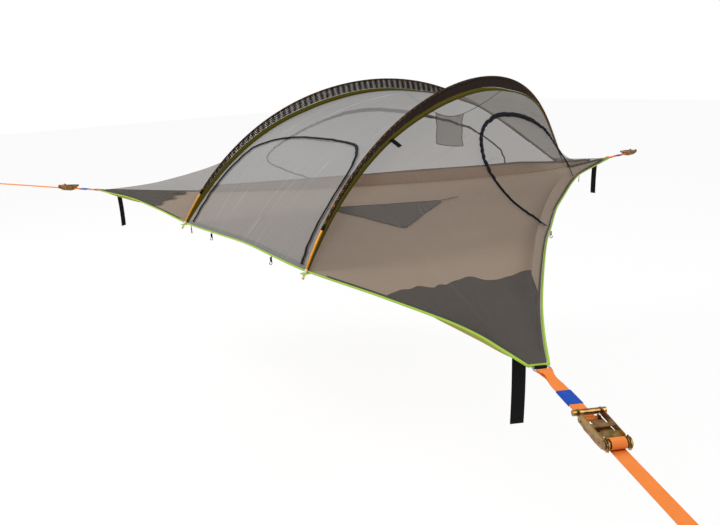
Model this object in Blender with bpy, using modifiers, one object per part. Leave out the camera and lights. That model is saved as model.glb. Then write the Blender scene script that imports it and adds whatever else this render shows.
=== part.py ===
# Three cornered tree tent, hung flat between three trees by ratchet straps.
# Metres, +Z up. The origin is where the three strap lines meet, in the plane of the corners.
# Corner A is front left, corner B is the tail on +Y, corner C is front right.

import bpy
import bmesh
import numpy as np
from math import atan2, ceil, cos, pi, radians, sin, sqrt, tan
from mathutils import Matrix, Vector
from mathutils.bvhtree import BVHTree

# Clearances
SEAT_GAP = 0.0003
CLOTH_GAP = 0.0005
CUT_OVERRUN = 0.004
MERGE = 0.00001

# Shares that a place is searched or a slope is read over
SEARCH_STEP_SHARE = 1 / 2000
SLOPE_STEP_SHARE = 1 / 400

# Floor plan
SIDE = 4.1
CORNER_RADIUS = SIDE / sqrt(3)
CORNER_END_WIDTH = 0.052
CORNER_ANGLES = {"a": radians(210), "b": radians(90), "c": radians(-30)}
FLOOR_SAG = 0.066
FLOOR_BOWL_POWER = 1.5
FLOOR_FLAT_RADIUS = 0.58
FLOOR_THICKNESS = 0.003
SIDE_EDGE_BOW = 0.228
FRONT_EDGE_BOW = 0.17
SIDE_BOW_SHARES = [
    (0, 0), (0.06, 0.19), (0.14, 0.4), (0.27, 0.66), (0.38, 0.84), (0.45, 0.9), (0.57, 1), (0.65, 0.985),
    (0.73, 0.955), (0.79, 0.915), (0.85, 0.82), (0.88, 0.7), (0.92, 0.48), (0.96, 0.25), (1, 0),
]
FRONT_BOW_HALF_SHARES = [
    (0, 0), (0.03, 0.26), (0.066, 0.55), (0.11, 0.735), (0.2, 0.825), (0.24, 0.815), (0.286, 0.775),
    (0.331, 0.747), (0.37, 0.785), (0.425, 0.89), (0.5, 1),
]
FRONT_BOW_SHARES = FRONT_BOW_HALF_SHARES + [(1 - x, y) for x, y in reversed(FRONT_BOW_HALF_SHARES[:-1])]

# Floor hatch, a triangle with its tips towards the three corners
HATCH_RADIUS = 0.46
HATCH_OVERLAP = 0.035
HATCH_TIP_ROUND = 0.03
HATCH_THICKNESS = 0.0025
HATCH_TAB_LENGTH = 0.05
HATCH_TAB_WIDTH = 0.025
TOGGLE_REACH_SHARE = 0.45
TOGGLE_RADIUS = 0.006
TOGGLE_LENGTH = 0.03
TOGGLE_WAIST_SHARE = 0.6
FLOOR_TOP = -FLOOR_SAG + FLOOR_THICKNESS / 2
HATCH_BOTTOM = FLOOR_TOP + SEAT_GAP
HATCH_TOP = HATCH_BOTTOM + HATCH_THICKNESS

# Arched poles
POLE_RADIUS = 0.0055
FOOT_HALF_SPREAD = 0.695
FOOT_SHARE = 0.5 + FOOT_HALF_SPREAD / SIDE
POLE_FOOT_OUTSET = 0.0037
POLE_FOOT_SPREAD = FOOT_HALF_SPREAD + POLE_FOOT_OUTSET
POLE_FOOT_STANDOFF = 0.0345
POLE_TIP_SHARE = 0.5
POLE_TIP_DROP = 0.031
POLE_CROWN_HEIGHT = 0.739
POLE_REAR_SPREAD = 0.032
POLE_REAR_REACH = 1.737
POLE_REAR_HEIGHT = 0.05
POLE_SPREAD_SHARES = [1, 0.89, 0.854, 0.643, 0.434]
POLE_RUN_SHARES = [0, 0.147, 0.358, 0.686, 0.756]
POLE_HEIGHT_SHARES = [0.851, 1.148, 1.239, 0.785]

# Mesh canopy
MESH_THICKNESS = 0.0012
MESH_EDGE_GAP = 0.0018
CANOPY_LIFT = FLOOR_THICKNESS / 2 + MESH_THICKNESS / 2 + SEAT_GAP
TAIL_ROW_SHARE = 0.84
CORNER_ROW_SHARE = 0.3
FRONT_ROWS = 6
SIDE_ROWS = 15
TAIL_ROWS = 5
SIDE_COLUMNS = 7
ROOF_COLUMNS = 6

# Fin that joins the canopy to each pole: olive binding below, folded lace sleeve above
FIN_DEPTH = 0.084
FIN_END_DEPTH = 0.016
FIN_SWELL_POWER = 0.6
BINDING_HEIGHT = 0.025
BINDING_THICKNESS = 0.0018
BINDING_LIFT = 0.001
BINDING_DEPTH_SHARE = 0.4
SLEEVE_CLOTH = 0.0011
SLEEVE_SLACK = 0.001
SLEEVE_START_SHARE = 0.105
SLEEVE_END_SHARE = 0.95
BINDING_END_SHARE = 0.955
SEAM_START_SHARE = 0.05

# What holds the pole ends
TAB_THICKNESS = 0.003
TAB_WIDTH = 0.034
TAB_TUCK = 0.02
TAB_SLACK = 0.0004
EYELET_RADIUS = 0.011
EYELET_STAND = 0.0012
CUP_WALL = 0.0018
CUP_DEPTH = 0.03
CUP_FLOOR = 0.008
CUP_BAR_RADIUS = 0.004

# Door zips
ZIP_RADIUS = 0.0035
ROLL_RADIUS = 0.009
FRONT_DOOR_SHARES = [
    (0.01, 0.05), (0.06, 0.035), (0.13, 0.035), (0.175, 0.06), (0.215, 0.2), (0.23, 0.42), (0.225, 0.64),
    (0.207, 0.78), (0.16, 0.885), (0.1, 0.92), (0.05, 0.93), (0.01, 0.955),
]
SIDE_DOOR_SHARES = [
    (0.955, 0.85), (0.905, 0.4), (0.82, 0.22), (0.71, 0.19), (0.6, 0.17), (0.505, 0.17), (0.445, 0.23),
    (0.423, 0.35), (0.433, 0.5), (0.475, 0.65), (0.56, 0.8), (0.64, 0.93),
]
SIDE_DOOR_ROLL_SHARES = (0.33, 0.66)
ZIP_LIFT = 0.0018
ZIP_STEPS = 3

# Lime piping round the edge
PIPING_RADIUS = 0.004

# Dark covers over the three floor corners
COVER_SIDE_LENGTH = 0.93
COVER_TIP_LENGTH = 0.04
COVER_GAP = 0.0012
COVER_THICKNESS = 0.002
COVER_ROWS = 6
COVER_COLUMNS = 12
COVER_EDGE_INSET = 0.03
COVER_LIFT = 0.012
COVER_WAVE = 0.006
COVER_WAVES = 4

# Strap hardware at each corner
STRAP_RISE = radians(1.2)
WEBBING_WIDTH = 0.036
WEBBING_THICKNESS = 0.002
CORNER_LOOP_WIDTH = 0.032
CORNER_LEAF_LENGTH = 0.17
RING_WIRE = 0.0025
RING_NEAR = 0.016
RING_LENGTH = 0.022
RING_HALF_WIDTH = 0.0245
RING_BEND = 0.006
LOOP_SLACK = 0.0004
HANGING_LENGTH = 0.255
HANGING_INSET = 0.145
HANGING_WIDTH = 0.045
HANGING_THICKNESS = 0.0025

# Ratchet, measured from its spindle: X along the strap away from the tent, Z up
RATCHET_AT = 0.43
RATCHET_LIFT = 0.0105
BOLT_BACK = 0.125
BOLT_RADIUS = 0.004
BOLT_HEAD_RADIUS = 0.007
CHEEK_INNER = 0.0217
CHEEK_THICKNESS = 0.0025
CHEEK_SPINDLE_RADIUS = 0.0125
CHEEK_BOLT_RADIUS = 0.0095
CHEEK_TOP_DROP = 0.0035
CHEEK_BELLY_DROP = 0.026
BASE_PLATE_THICKNESS = 0.002
DRUM_RADIUS = 0.009
JOURNAL_RADIUS = 0.006
SPINDLE_HEAD_RADIUS = 0.0095
SPINDLE_HEAD_LENGTH = 0.002
DRUM_SLOT = 0.0032
RUNNING_GAP = 0.0003
WHEEL_TIP_RADIUS = 0.017
WHEEL_ROOT_RADIUS = 0.0135
WHEEL_TEETH = 12
WHEEL_THICKNESS = 0.0024
WHEEL_GAP = 0.0003
ARM_THICKNESS = 0.0025
ARM_SPINDLE_RADIUS = 0.0135
ARM_HALF_HEIGHT = 0.0075
ARM_END_RADIUS = 0.009
HANDLE_REST = radians(3)
HANDLE_LENGTH = 0.13
GRIP_RADIUS = 0.0075
GRIP_HALF_WIDTH = 0.041
BRACE_BACK = 0.07
BRACE_LENGTH = 0.014
BRACE_LIFT = 0.0065
BRACE_THICKNESS = 0.0015
PAWL_THICKNESS = 0.0024
PAWL_TRAVEL = 0.005
DRIVE_PAWL_LENGTH = 0.028
DRIVE_TONGUE_BACK = 0.088
DRIVE_TONGUE_HALF_WIDTH = 0.015
DRIVE_TONGUE_BAR = 0.003
LOCK_PAWL_LENGTH = 0.02
LOCK_PAWL_DIP = radians(25)
LOCK_SLOT_SLACK = 0.0003

# Long straps to the trees at A and C
STRAP_REACH = {"a": 1.29, "c": 0.82}
STRAP_TURNS = 1.35
STRAP_TURN_GAP = 0.0005
EYE_LENGTH = 0.09
EYE_OPENING = 0.022
EYE_SEWN_LENGTH = 0.05

# Gear pocket under the roof
POCKET_REACH = 0.52
POCKET_WIDTH = 0.25
POCKET_HEIGHT = 0.205
POCKET_TOP = 0.512
POCKET_THICKNESS = 0.003
POCKET_CORD_RADIUS = 0.0015
POCKET_CORD_END = 0.012

# Zip pulls and hooks under the edge
PIVOT_RADIUS = 0.003
PULL_LENGTH = 0.048
PULL_WIDTH = 0.009
PULL_THICKNESS = 0.0028
HOOK_WIRE = 0.0018
HOOK_SHANK = 0.034
HOOK_BEND = 0.0065
PULL_PLACES_SHARES = {
    "front": ("front", 0.345, False), "right": ("right", 0.85, False), "left": ("right", 0.85, True),
}
HOOK_PLACES_SHARES = {
    "front_left": ("front", 0.41, False), "front_right": ("front", 0.58, False),
    "side_right": ("right", 0.44, False), "side_left": ("right", 0.44, True),
}

MODEL = bpy.data.collections.new("tree_tent")
CUTTERS = bpy.data.collections.new("cutters")
MATERIALS = {}


def clear_scene():
    for item in list(bpy.data.objects):
        bpy.data.objects.remove(item, do_unlink=True)
    bpy.context.scene.collection.children.link(MODEL)
    bpy.context.scene.collection.children.link(CUTTERS)


def material(name, colour, roughness, metallic=0.0):
    if name not in MATERIALS:
        item = bpy.data.materials.new(name)
        item.use_nodes = True
        shader = item.node_tree.nodes["Principled BSDF"]
        shader.inputs["Base Color"].default_value = (*colour, 1)
        shader.inputs["Roughness"].default_value = roughness
        shader.inputs["Metallic"].default_value = metallic
        MATERIALS[name] = item
    return MATERIALS[name]


MESH_CLOTH = material("mesh_cloth", (0.36, 0.34, 0.32), 0.9)
FLOOR_CLOTH = material("floor_cloth", (0.27, 0.23, 0.19), 0.85)
DARK_CLOTH = material("dark_cloth", (0.09, 0.09, 0.1), 0.85)
OLIVE_CLOTH = material("olive_cloth", (0.13, 0.12, 0.02), 0.8)
LACE_CLOTH = material("lace_cloth", (0.02, 0.02, 0.02), 0.9)
LIME_TAPE = material("lime_tape", (0.45, 0.7, 0.08), 0.7)
BLACK_WEBBING = material("black_webbing", (0.015, 0.015, 0.017), 0.85)
ORANGE_WEBBING = material("orange_webbing", (0.9, 0.2, 0.03), 0.8)
GOLD_POLE = material("gold_pole", (0.72, 0.4, 0.05), 0.35, 0.9)
YELLOW_ZINC = material("yellow_zinc", (0.45, 0.33, 0.12), 0.4, 0.95)
STEEL = material("steel", (0.5, 0.5, 0.5), 0.35, 1.0)
BLACK_PLASTIC = material("black_plastic", (0.02, 0.02, 0.02), 0.5)


# Small building blocks

def put(name, mesh, finish, where=None):
    item = bpy.data.objects.new(name, mesh)
    MODEL.objects.link(item)
    if finish is not None:
        mesh.materials.clear()
        mesh.materials.append(finish)
    if where is not None:
        item.matrix_world = where
    return item


def mesh_from(name, points, faces):
    mesh = bpy.data.meshes.new(name)
    mesh.from_pydata([tuple(p) for p in points], [], faces)
    body = bmesh.new()
    body.from_mesh(mesh)
    bmesh.ops.remove_doubles(body, verts=body.verts, dist=MERGE)
    bmesh.ops.triangulate(body, faces=body.faces)
    bmesh.ops.recalc_face_normals(body, faces=body.faces)
    body.to_mesh(mesh)
    body.free()
    return mesh


def grid_mesh(name, rows, wrap=False):
    """Quads between rows of points. wrap joins each row's last point to its first."""
    rows = np.asarray(rows, float)
    count, width = rows.shape[:2]
    span = width if wrap else width - 1
    faces = []
    for i in range(count - 1):
        for j in range(span):
            k = (j + 1) % width
            faces.append((i * width + j, i * width + k, (i + 1) * width + k, (i + 1) * width + j))
    return mesh_from(name, rows.reshape(-1, 3), faces)


def cloth(name, mesh, thickness, finish):
    item = put(name, mesh, finish)
    shell = item.modifiers.new("thickness", "SOLIDIFY")
    shell.thickness = thickness
    shell.offset = 0
    shell.use_even_offset = False
    mesh.shade_smooth()
    return item


def loft(name, sections, finish):
    """A closed body through a list of closed sections with as many points each."""
    sections = np.asarray(sections, float)
    count, width = sections.shape[:2]
    faces = []
    for i in range(count - 1):
        for j in range(width):
            k = (j + 1) % width
            faces.append((i * width + j, i * width + k, (i + 1) * width + k, (i + 1) * width + j))
    faces.append(tuple(reversed(range(width))))
    faces.append(tuple(range((count - 1) * width, count * width)))
    return put(name, mesh_from(name, sections.reshape(-1, 3), faces), finish)


def tube(name, points, radius, finish, cyclic=False, sides=2, radii=None):
    """A round bar along points, made a mesh with its caps welded."""
    line = bpy.data.curves.new(name, "CURVE")
    line.dimensions = "3D"
    line.bevel_depth = radius
    line.bevel_resolution = sides
    line.use_fill_caps = not cyclic
    spline = line.splines.new("POLY")
    spline.points.add(len(points) - 1)
    for i, (point, place) in enumerate(zip(spline.points, points)):
        point.co = (*place, 1)
        point.radius = 1 if radii is None else radii[i]
    spline.use_cyclic_u = cyclic
    guide = bpy.data.objects.new(name + "_line", line)
    MODEL.objects.link(guide)
    mesh = solid_of(guide)
    bpy.data.objects.remove(guide, do_unlink=True)
    return put(name, mesh, finish)


def solid_of(item):
    """The evaluated object as a welded mesh in world space."""
    bpy.context.view_layer.update()
    mesh = bpy.data.meshes.new_from_object(item.evaluated_get(bpy.context.evaluated_depsgraph_get()))
    mesh.transform(item.matrix_world)
    body = bmesh.new()
    body.from_mesh(mesh)
    bmesh.ops.remove_doubles(body, verts=body.verts, dist=MERGE)
    bmesh.ops.recalc_face_normals(body, faces=body.faces)
    body.to_mesh(mesh)
    body.free()
    return mesh


def outline_solid(name, loops, low, high, upright=True):
    """An outline with any holes as further loops. Upright, it lies in X and Z and runs from Y low to
    Y high; otherwise it lies in X and Y and runs from Z low to Z high."""
    shape = bpy.data.curves.new(name, "CURVE")
    shape.dimensions = "2D"
    shape.fill_mode = "BOTH"
    shape.extrude = (high - low) / 2
    for loop in loops:
        spline = shape.splines.new("POLY")
        spline.points.add(len(loop) - 1)
        for point, (x, z) in zip(spline.points, loop):
            point.co = (x, z, 0, 1)
        spline.use_cyclic_u = True
    guide = bpy.data.objects.new(name, shape)
    CUTTERS.objects.link(guide)
    middle = (low + high) / 2
    if upright:
        guide.matrix_world = Matrix.Translation((0, middle, 0)) @ Matrix.Rotation(pi / 2, 4, "X")
    else:
        guide.matrix_world = Matrix.Translation((0, 0, middle))
    mesh = solid_of(guide)
    bpy.data.objects.remove(guide, do_unlink=True)
    return mesh


def rod(radius, start, end, sides=16):
    """A round bar between two points."""
    start, end = Vector(start), Vector(end)
    turn = (end - start).to_track_quat("Z", "Y").to_matrix().to_4x4()
    body = bmesh.new()
    bmesh.ops.create_cone(
        body, cap_ends=True, segments=sides, radius1=radius, radius2=radius, depth=(end - start).length,
        matrix=Matrix.Translation((start + end) / 2) @ turn,
    )
    mesh = bpy.data.meshes.new("rod")
    body.to_mesh(mesh)
    body.free()
    return mesh


def turned(profile, steps):
    """A turned body on the Z axis. The profile is (radius, height), top to bottom down its outer side."""
    mesh = bpy.data.meshes.new("turned")
    places = [(radius, 0, height) for radius, height in profile]
    mesh.from_pydata(places, [(i, i + 1) for i in range(len(places) - 1)], [])
    item = bpy.data.objects.new("turned", mesh)
    CUTTERS.objects.link(item)
    spin = item.modifiers.new("spin", "SCREW")
    spin.steps = steps
    spin.render_steps = steps
    spin.use_merge_vertices = True
    spin.merge_threshold = MERGE
    made = solid_of(item)
    bpy.data.objects.remove(item, do_unlink=True)
    return made


def box(low, high, turn=0.0):
    """A box from its low to its high corner, then turned about Y."""
    body = bmesh.new()
    size = Vector(high) - Vector(low)
    middle = (Vector(high) + Vector(low)) / 2
    bmesh.ops.create_cube(
        body, size=1,
        matrix=Matrix.Rotation(turn, 4, "Y") @ Matrix.Translation(middle) @ Matrix.Diagonal((*size, 1)),
    )
    mesh = bpy.data.meshes.new("box")
    body.to_mesh(mesh)
    body.free()
    return mesh


def combine(name, first, joined=(), cut=()):
    """One mesh: first, with each joined mesh added and each cut mesh taken away."""
    base = bpy.data.objects.new(name, first)
    CUTTERS.objects.link(base)
    tools = []
    for mode, meshes in (("UNION", joined), ("DIFFERENCE", cut)):
        for mesh in meshes:
            tool = bpy.data.objects.new(name + "_tool", mesh)
            CUTTERS.objects.link(tool)
            tool.hide_render = True
            tool.display_type = "WIRE"
            step = base.modifiers.new(mode.lower(), "BOOLEAN")
            step.operation = mode
            step.solver = "EXACT"
            step.object = tool
            tools.append(tool)
    mesh = solid_of(base)
    for item in tools + [base]:
        bpy.data.objects.remove(item, do_unlink=True)
    return mesh


def arc(centre, radius, start, end, count):
    turns = [start + (end - start) * i / count for i in range(count + 1)]
    return [(centre[0] + radius * cos(turn), centre[1] + radius * sin(turn)) for turn in turns]


def circle(centre, radius, count):
    return arc(centre, radius, 0, 2 * pi * (count - 1) / count, count - 1)


def smooth_read(table, share):
    """Reads a table of (share, value) with a smooth curve through its rows."""
    xs = [row[0] for row in table]
    ys = [row[1] for row in table]
    i = min(max(int(np.searchsorted(xs, share, side="right")) - 1, 0), len(xs) - 2)

    def slope(k):
        low, high = max(k - 1, 0), min(k + 1, len(xs) - 1)
        return (ys[high] - ys[low]) / (xs[high] - xs[low])

    width = xs[i + 1] - xs[i]
    u = (share - xs[i]) / width
    rise = (2 * u**3 - 3 * u**2 + 1) * ys[i] + (3 * u**2 - 2 * u**3) * ys[i + 1]
    return rise + width * ((u**3 - 2 * u**2 + u) * slope(i) + (u**3 - u**2) * slope(i + 1))


def unit(vector):
    return vector / np.linalg.norm(vector)


# Plan of the floor

def outward(corner):
    return np.array([cos(CORNER_ANGLES[corner]), sin(CORNER_ANGLES[corner]), 0])


def sideways(corner):
    return np.array([-sin(CORNER_ANGLES[corner]), cos(CORNER_ANGLES[corner]), 0])


def floor_height(x, y):
    """The floor is flat in the middle and rises as a shallow bowl to the corners."""
    rise = (x * x + y * y - FLOOR_FLAT_RADIUS**2) / (CORNER_RADIUS**2 - FLOOR_FLAT_RADIUS**2)
    return -FLOOR_SAG * (1 - max(rise, 0) ** FLOOR_BOWL_POWER)


def edge_point(side, share, out=0.0, lift=0.0):
    """A point on the tent's edge. side is front (A to C), right (C to B) or left (A to B)."""
    ends = {"front": ("a", 1, "c", -1), "right": ("c", 1, "b", -1), "left": ("a", -1, "b", 1)}[side]
    first = outward(ends[0]) * CORNER_RADIUS + sideways(ends[0]) * CORNER_END_WIDTH / 2 * ends[1]
    last = outward(ends[2]) * CORNER_RADIUS + sideways(ends[2]) * CORNER_END_WIDTH / 2 * ends[3]
    inward = -unit(first + last)
    bow, shares = (FRONT_EDGE_BOW, FRONT_BOW_SHARES) if side == "front" else (SIDE_EDGE_BOW, SIDE_BOW_SHARES)
    place = first + (last - first) * share + inward * (bow * smooth_read(shares, share) - out)
    place[2] = floor_height(place[0], place[1]) + lift
    return place


def steps(first, last, count):
    return [first + (last - first) * i / count for i in range(count + 1)]


def edge_stations(side):
    """Shares along a side that the floor, the canopy and the piping all bend at."""
    if side == "front":
        near = steps(0, 1 - FOOT_SHARE, FRONT_ROWS)
        between = steps(1 - FOOT_SHARE, FOOT_SHARE, ROOF_COLUMNS)[1:-1]
        return near + between + [1 - share for share in reversed(near)]
    return steps(0, TAIL_ROW_SHARE, SIDE_ROWS) + steps(TAIL_ROW_SHARE, 1, TAIL_ROWS)[1:]


def edge_loop(out=0.0):
    """The whole edge, anticlockwise from corner A, moved out with mitred corners."""
    points = []
    for side, first, last in (("front", "a", "c"), ("right", "c", "b"), ("left", "b", "a")):
        shares = edge_stations(side)
        if side == "left":
            shares.reverse()
        for i, share in enumerate(shares):
            place = edge_point(side, share, out)
            if share in (0, 1):
                flat = edge_point(side, share)
                away = unit((place - flat)[:2]) if out else np.zeros(2)
                end = outward(first if i == 0 else last)[:2]
                place = flat + np.append((away + end) / (1 + away @ end) * out, 0)
            points.append(place)
    return points


# Poles and the seam below them

def bezier(points, share):
    points = np.asarray(points, float)
    while len(points) > 1:
        points = points[:-1] * (1 - share) + points[1:] * share
    return points[0]


def pole_controls():
    """Control points of the right pole, from its front tip to its rear end."""
    foot = edge_point("front", FOOT_SHARE, POLE_FOOT_STANDOFF)
    spreads = [s * POLE_FOOT_SPREAD for s in POLE_SPREAD_SHARES] + [POLE_REAR_SPREAD]
    runs = [foot[1] + s * (POLE_REAR_REACH - foot[1]) for s in POLE_RUN_SHARES] + [POLE_REAR_REACH]
    heights = [foot[2] - POLE_TIP_DROP] + [s * POLE_CROWN_HEIGHT for s in POLE_HEIGHT_SHARES]
    heights.append(POLE_REAR_HEIGHT)
    return list(zip(spreads, runs, heights))


POLE_CONTROLS = pole_controls()


def pole_point(share):
    return bezier(POLE_CONTROLS, share)


def pole_axes(share):
    """Along the pole, up out of the arch, and across the fin."""
    near, far = max(share - SLOPE_STEP_SHARE, 0), min(share + SLOPE_STEP_SHARE, 1)
    along = unit(pole_point(far) - pole_point(near))
    chord = pole_point(1) - pole_point(0)
    across = unit(np.cross(chord, pole_point(0.5) - pole_point(0)))
    return along, unit(np.cross(across, along)), across


def fin_depth(share):
    swell = max(sin(pi * min(max(share, 0), 1)), 0) ** FIN_SWELL_POWER
    return FIN_END_DEPTH + (FIN_DEPTH - FIN_END_DEPTH) * swell


def seam_point(share):
    """Where the canopy meets the right pole's fin."""
    if share <= 0:
        return edge_point("front", FOOT_SHARE, 0, CANOPY_LIFT)
    _, up, _ = pole_axes(share)
    hung = pole_point(share) - up * fin_depth(share)
    start = min(share / SEAM_START_SHARE, 1)
    return hung * start + edge_point("front", FOOT_SHARE, 0, CANOPY_LIFT) * (1 - start)


# Canopy: a net pulled between the edge and the two pole seams

def row_shares():
    """(share along the pole, edge side, share along that edge) of each row beside the pole."""
    rows = []
    step = (1 - CORNER_ROW_SHARE) / (SIDE_ROWS + 1)
    for i in range(FRONT_ROWS + 1):
        part = i / FRONT_ROWS
        rows.append((part * CORNER_ROW_SHARE, "front", FOOT_SHARE + (1 - FOOT_SHARE) * part))
    for i in range(SIDE_ROWS + 1):
        part = i / SIDE_ROWS
        share = CORNER_ROW_SHARE + step + (1 - CORNER_ROW_SHARE - step) * part
        rows.append((share, "right", TAIL_ROW_SHARE * part))
    return rows


def canopy_net():
    """Rows of points from the left edge over both poles to the right edge, and on to the tail."""
    flip = np.array([-1, 1, 1])
    rows = row_shares()
    across = 2 * SIDE_COLUMNS + ROOF_COLUMNS + 1
    total = len(rows) + TAIL_ROWS
    net = np.zeros((total, across, 3))
    fixed = np.zeros((total, across), bool)
    left, right = SIDE_COLUMNS, SIDE_COLUMNS + ROOF_COLUMNS
    for i, (share, side, along) in enumerate(rows):
        rim = edge_point(side, along, 0, CANOPY_LIFT)
        seam = seam_point(share)
        for j in range(SIDE_COLUMNS + 1):
            part = j / SIDE_COLUMNS
            net[i, right + j] = seam + (rim - seam) * part
            net[i, left - j] = net[i, right + j] * flip
        for j in range(1, ROOF_COLUMNS):
            part = j / ROOF_COLUMNS
            net[i, left + j] = net[i, left] + (net[i, right] - net[i, left]) * part
        fixed[i, [0, left, right, across - 1]] = True
    fixed[len(rows) - 1, left:right + 1] = True
    for j in range(ROOF_COLUMNS + 1):
        share = 1 - FOOT_SHARE + (2 * FOOT_SHARE - 1) * j / ROOF_COLUMNS
        net[0, left + j] = edge_point("front", share, 0, CANOPY_LIFT)
    fixed[0] = True
    last = net[len(rows) - 1].copy()
    for i in range(1, TAIL_ROWS + 1):
        part = i / TAIL_ROWS
        rim = edge_point("right", TAIL_ROW_SHARE + (1 - TAIL_ROW_SHARE) * part, 0, CANOPY_LIFT)
        for j in range(across):
            middle = 2 * j / (across - 1) - 1
            place = last[j] * (1 - part) + np.array([rim[0] * middle, rim[1], rim[2]]) * part
            net[len(rows) - 1 + i, j] = place
        net[len(rows) - 1 + i, -1] = rim
        net[len(rows) - 1 + i, 0] = rim * flip
        fixed[len(rows) - 1 + i, [0, -1]] = True
    fixed[-1] = True
    return pulled(net, fixed), len(rows)


def pulled(net, fixed):
    """Every free point settles at the mean of its neighbours, as an evenly pulled net does."""
    total, across = fixed.shape
    free = np.flatnonzero(~fixed.ravel())
    order = -np.ones(total * across, int)
    order[free] = np.arange(len(free))
    flat = net.reshape(-1, 3)
    matrix = np.zeros((len(free), len(free)))
    known = np.zeros((len(free), 3))
    for row, cell in enumerate(free):
        i, j = divmod(cell, across)
        for a, b in ((i - 1, j), (i + 1, j), (i, j - 1), (i, j + 1)):
            matrix[row, row] += 1
            other = a * across + b
            if order[other] < 0:
                known[row] += flat[other]
            else:
                matrix[row, order[other]] -= 1
    flat[free] = np.linalg.solve(matrix, known)
    return flat.reshape(total, across, 3)


def surface_of(name):
    """The middle surface of a cloth, for seating things on it."""
    mesh = bpy.data.objects[name].data
    return BVHTree.FromPolygons([v.co for v in mesh.vertices], [tuple(p.vertices) for p in mesh.polygons])


def drawn_in(points, towards, gap):
    """points moved by gap towards their neighbours."""
    step = towards - points
    length = np.linalg.norm(step, axis=1, keepdims=True)
    return points + step * gap / np.maximum(length, gap)


def build_canopy():
    net, pole_rows = canopy_net()
    left, right = SIDE_COLUMNS, SIDE_COLUMNS + ROOF_COLUMNS
    roof = net[:pole_rows, left:right + 1].copy()
    roof[:, 0] = drawn_in(roof[:, 0], roof[:, 1], MESH_EDGE_GAP)
    roof[:, -1] = drawn_in(roof[:, -1], roof[:, -2], MESH_EDGE_GAP)
    roof[-1] = drawn_in(roof[-1], roof[-2], MESH_EDGE_GAP)
    side = net[:pole_rows, right:].copy()
    side[1:, 0] = drawn_in(side[1:, 0], side[1:, 1], MESH_EDGE_GAP)
    side[-1] = drawn_in(side[-1], side[-2], MESH_EDGE_GAP)
    side[0] = edge_point("front", FOOT_SHARE + 2 * MESH_EDGE_GAP / SIDE, 0, CANOPY_LIFT)
    tail = net[pole_rows - 1:].copy()
    tail[0] = drawn_in(tail[0], tail[1], MESH_EDGE_GAP)
    panels = {
        "roof_mesh": grid_mesh("roof_mesh", roof),
        "side_mesh_right": grid_mesh("side_mesh_right", side),
        "side_mesh_left": grid_mesh("side_mesh_left", side * np.array([-1, 1, 1])),
        "tail_mesh": grid_mesh("tail_mesh", tail),
    }
    for name, mesh in panels.items():
        cloth(name, mesh, MESH_THICKNESS, MESH_CLOTH)
    return net, pole_rows


# Floor, hatch, corner covers and piping

def triangle_reach(turn, radius, tip_round):
    """How far a round tipped triangle, with its tips towards the corners, reaches at an angle."""
    away = (turn - CORNER_ANGLES["a"]) % (2 * pi / 3) - pi / 3
    return min(radius * cos(pi / 3) / cos(away), radius - tip_round)


def build_floor():
    rings = 3
    rim = edge_loop()
    hole, flat = [], []
    for point in rim:
        turn = atan2(point[1], point[0])
        reach = triangle_reach(turn, HATCH_RADIUS - HATCH_OVERLAP, HATCH_TIP_ROUND)
        hole.append(np.array([reach * cos(turn), reach * sin(turn), 0]))
        flat.append(np.array([FLOOR_FLAT_RADIUS * cos(turn), FLOOR_FLAT_RADIUS * sin(turn), 0]))
    rows = [hole]
    for i in range(rings + 1):
        part = i / rings
        rows.append([inner * (1 - part) + outer * part for inner, outer in zip(flat, rim)])
    for row in rows:
        for place in row:
            place[2] = floor_height(place[0], place[1])
    cloth("floor_panel", grid_mesh("floor_panel", rows, wrap=True), FLOOR_THICKNESS, FLOOR_CLOTH)


def build_hatch():
    """A loose triangular flap over the hole in the floor, with a pull tab at its tip towards corner C."""
    loop = []
    for corner in ("c", "b", "a"):
        turn = CORNER_ANGLES[corner]
        reach = HATCH_RADIUS - 2 * HATCH_TIP_ROUND
        centre = (reach * cos(turn), reach * sin(turn))
        tip = arc(centre, HATCH_TIP_ROUND, turn - pi / 3, turn + pi / 3, 6)
        if corner == "c":
            half = HATCH_TAB_WIDTH / 2
            end = HATCH_RADIUS - HATCH_TIP_ROUND + HATCH_TAB_LENGTH
            tab = []
            for along, across in ((end - half, -half), (end, 0), (end - half, half)):
                tab.append((along * cos(turn) - across * sin(turn), along * sin(turn) + across * cos(turn)))
            tip = tip[:3] + tab + tip[4:]
        loop += tip
    order = sorted(loop, key=lambda p: atan2(p[1], p[0]))
    flap = outline_solid("hatch_flap", [order], HATCH_BOTTOM, HATCH_TOP, upright=False)
    put("hatch_flap", flap, DARK_CLOTH)
    turn = CORNER_ANGLES["c"]
    reach = HATCH_RADIUS - HATCH_TIP_ROUND + HATCH_TAB_LENGTH * TOGGLE_REACH_SHARE
    height = HATCH_TOP + SEAT_GAP + TOGGLE_RADIUS
    where = Matrix.Translation((reach * cos(turn), reach * sin(turn), height)) @ Matrix.Rotation(turn, 4, "Z")
    waist, half = TOGGLE_RADIUS * TOGGLE_WAIST_SHARE, TOGGLE_LENGTH / 2
    profile = [
        (0, half), (TOGGLE_RADIUS, half), (TOGGLE_RADIUS, half - TOGGLE_RADIUS), (waist, 0),
        (TOGGLE_RADIUS, TOGGLE_RADIUS - half), (TOGGLE_RADIUS, -half), (0, -half),
    ]
    put("hatch_toggle", turned(profile, 12), BLACK_PLASTIC, where @ Matrix.Rotation(pi / 2, 4, "X"))


def cover_edges(corner, away):
    """The two edge points that lie a given share of a side from a corner, clockwise one first."""
    pairs = {
        "a": (("left", away), ("front", away)),
        "b": (("right", 1 - away), ("left", 1 - away)),
        "c": (("front", 1 - away), ("right", away)),
    }
    return [edge_point(side, share) for side, share in pairs[corner]]


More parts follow.
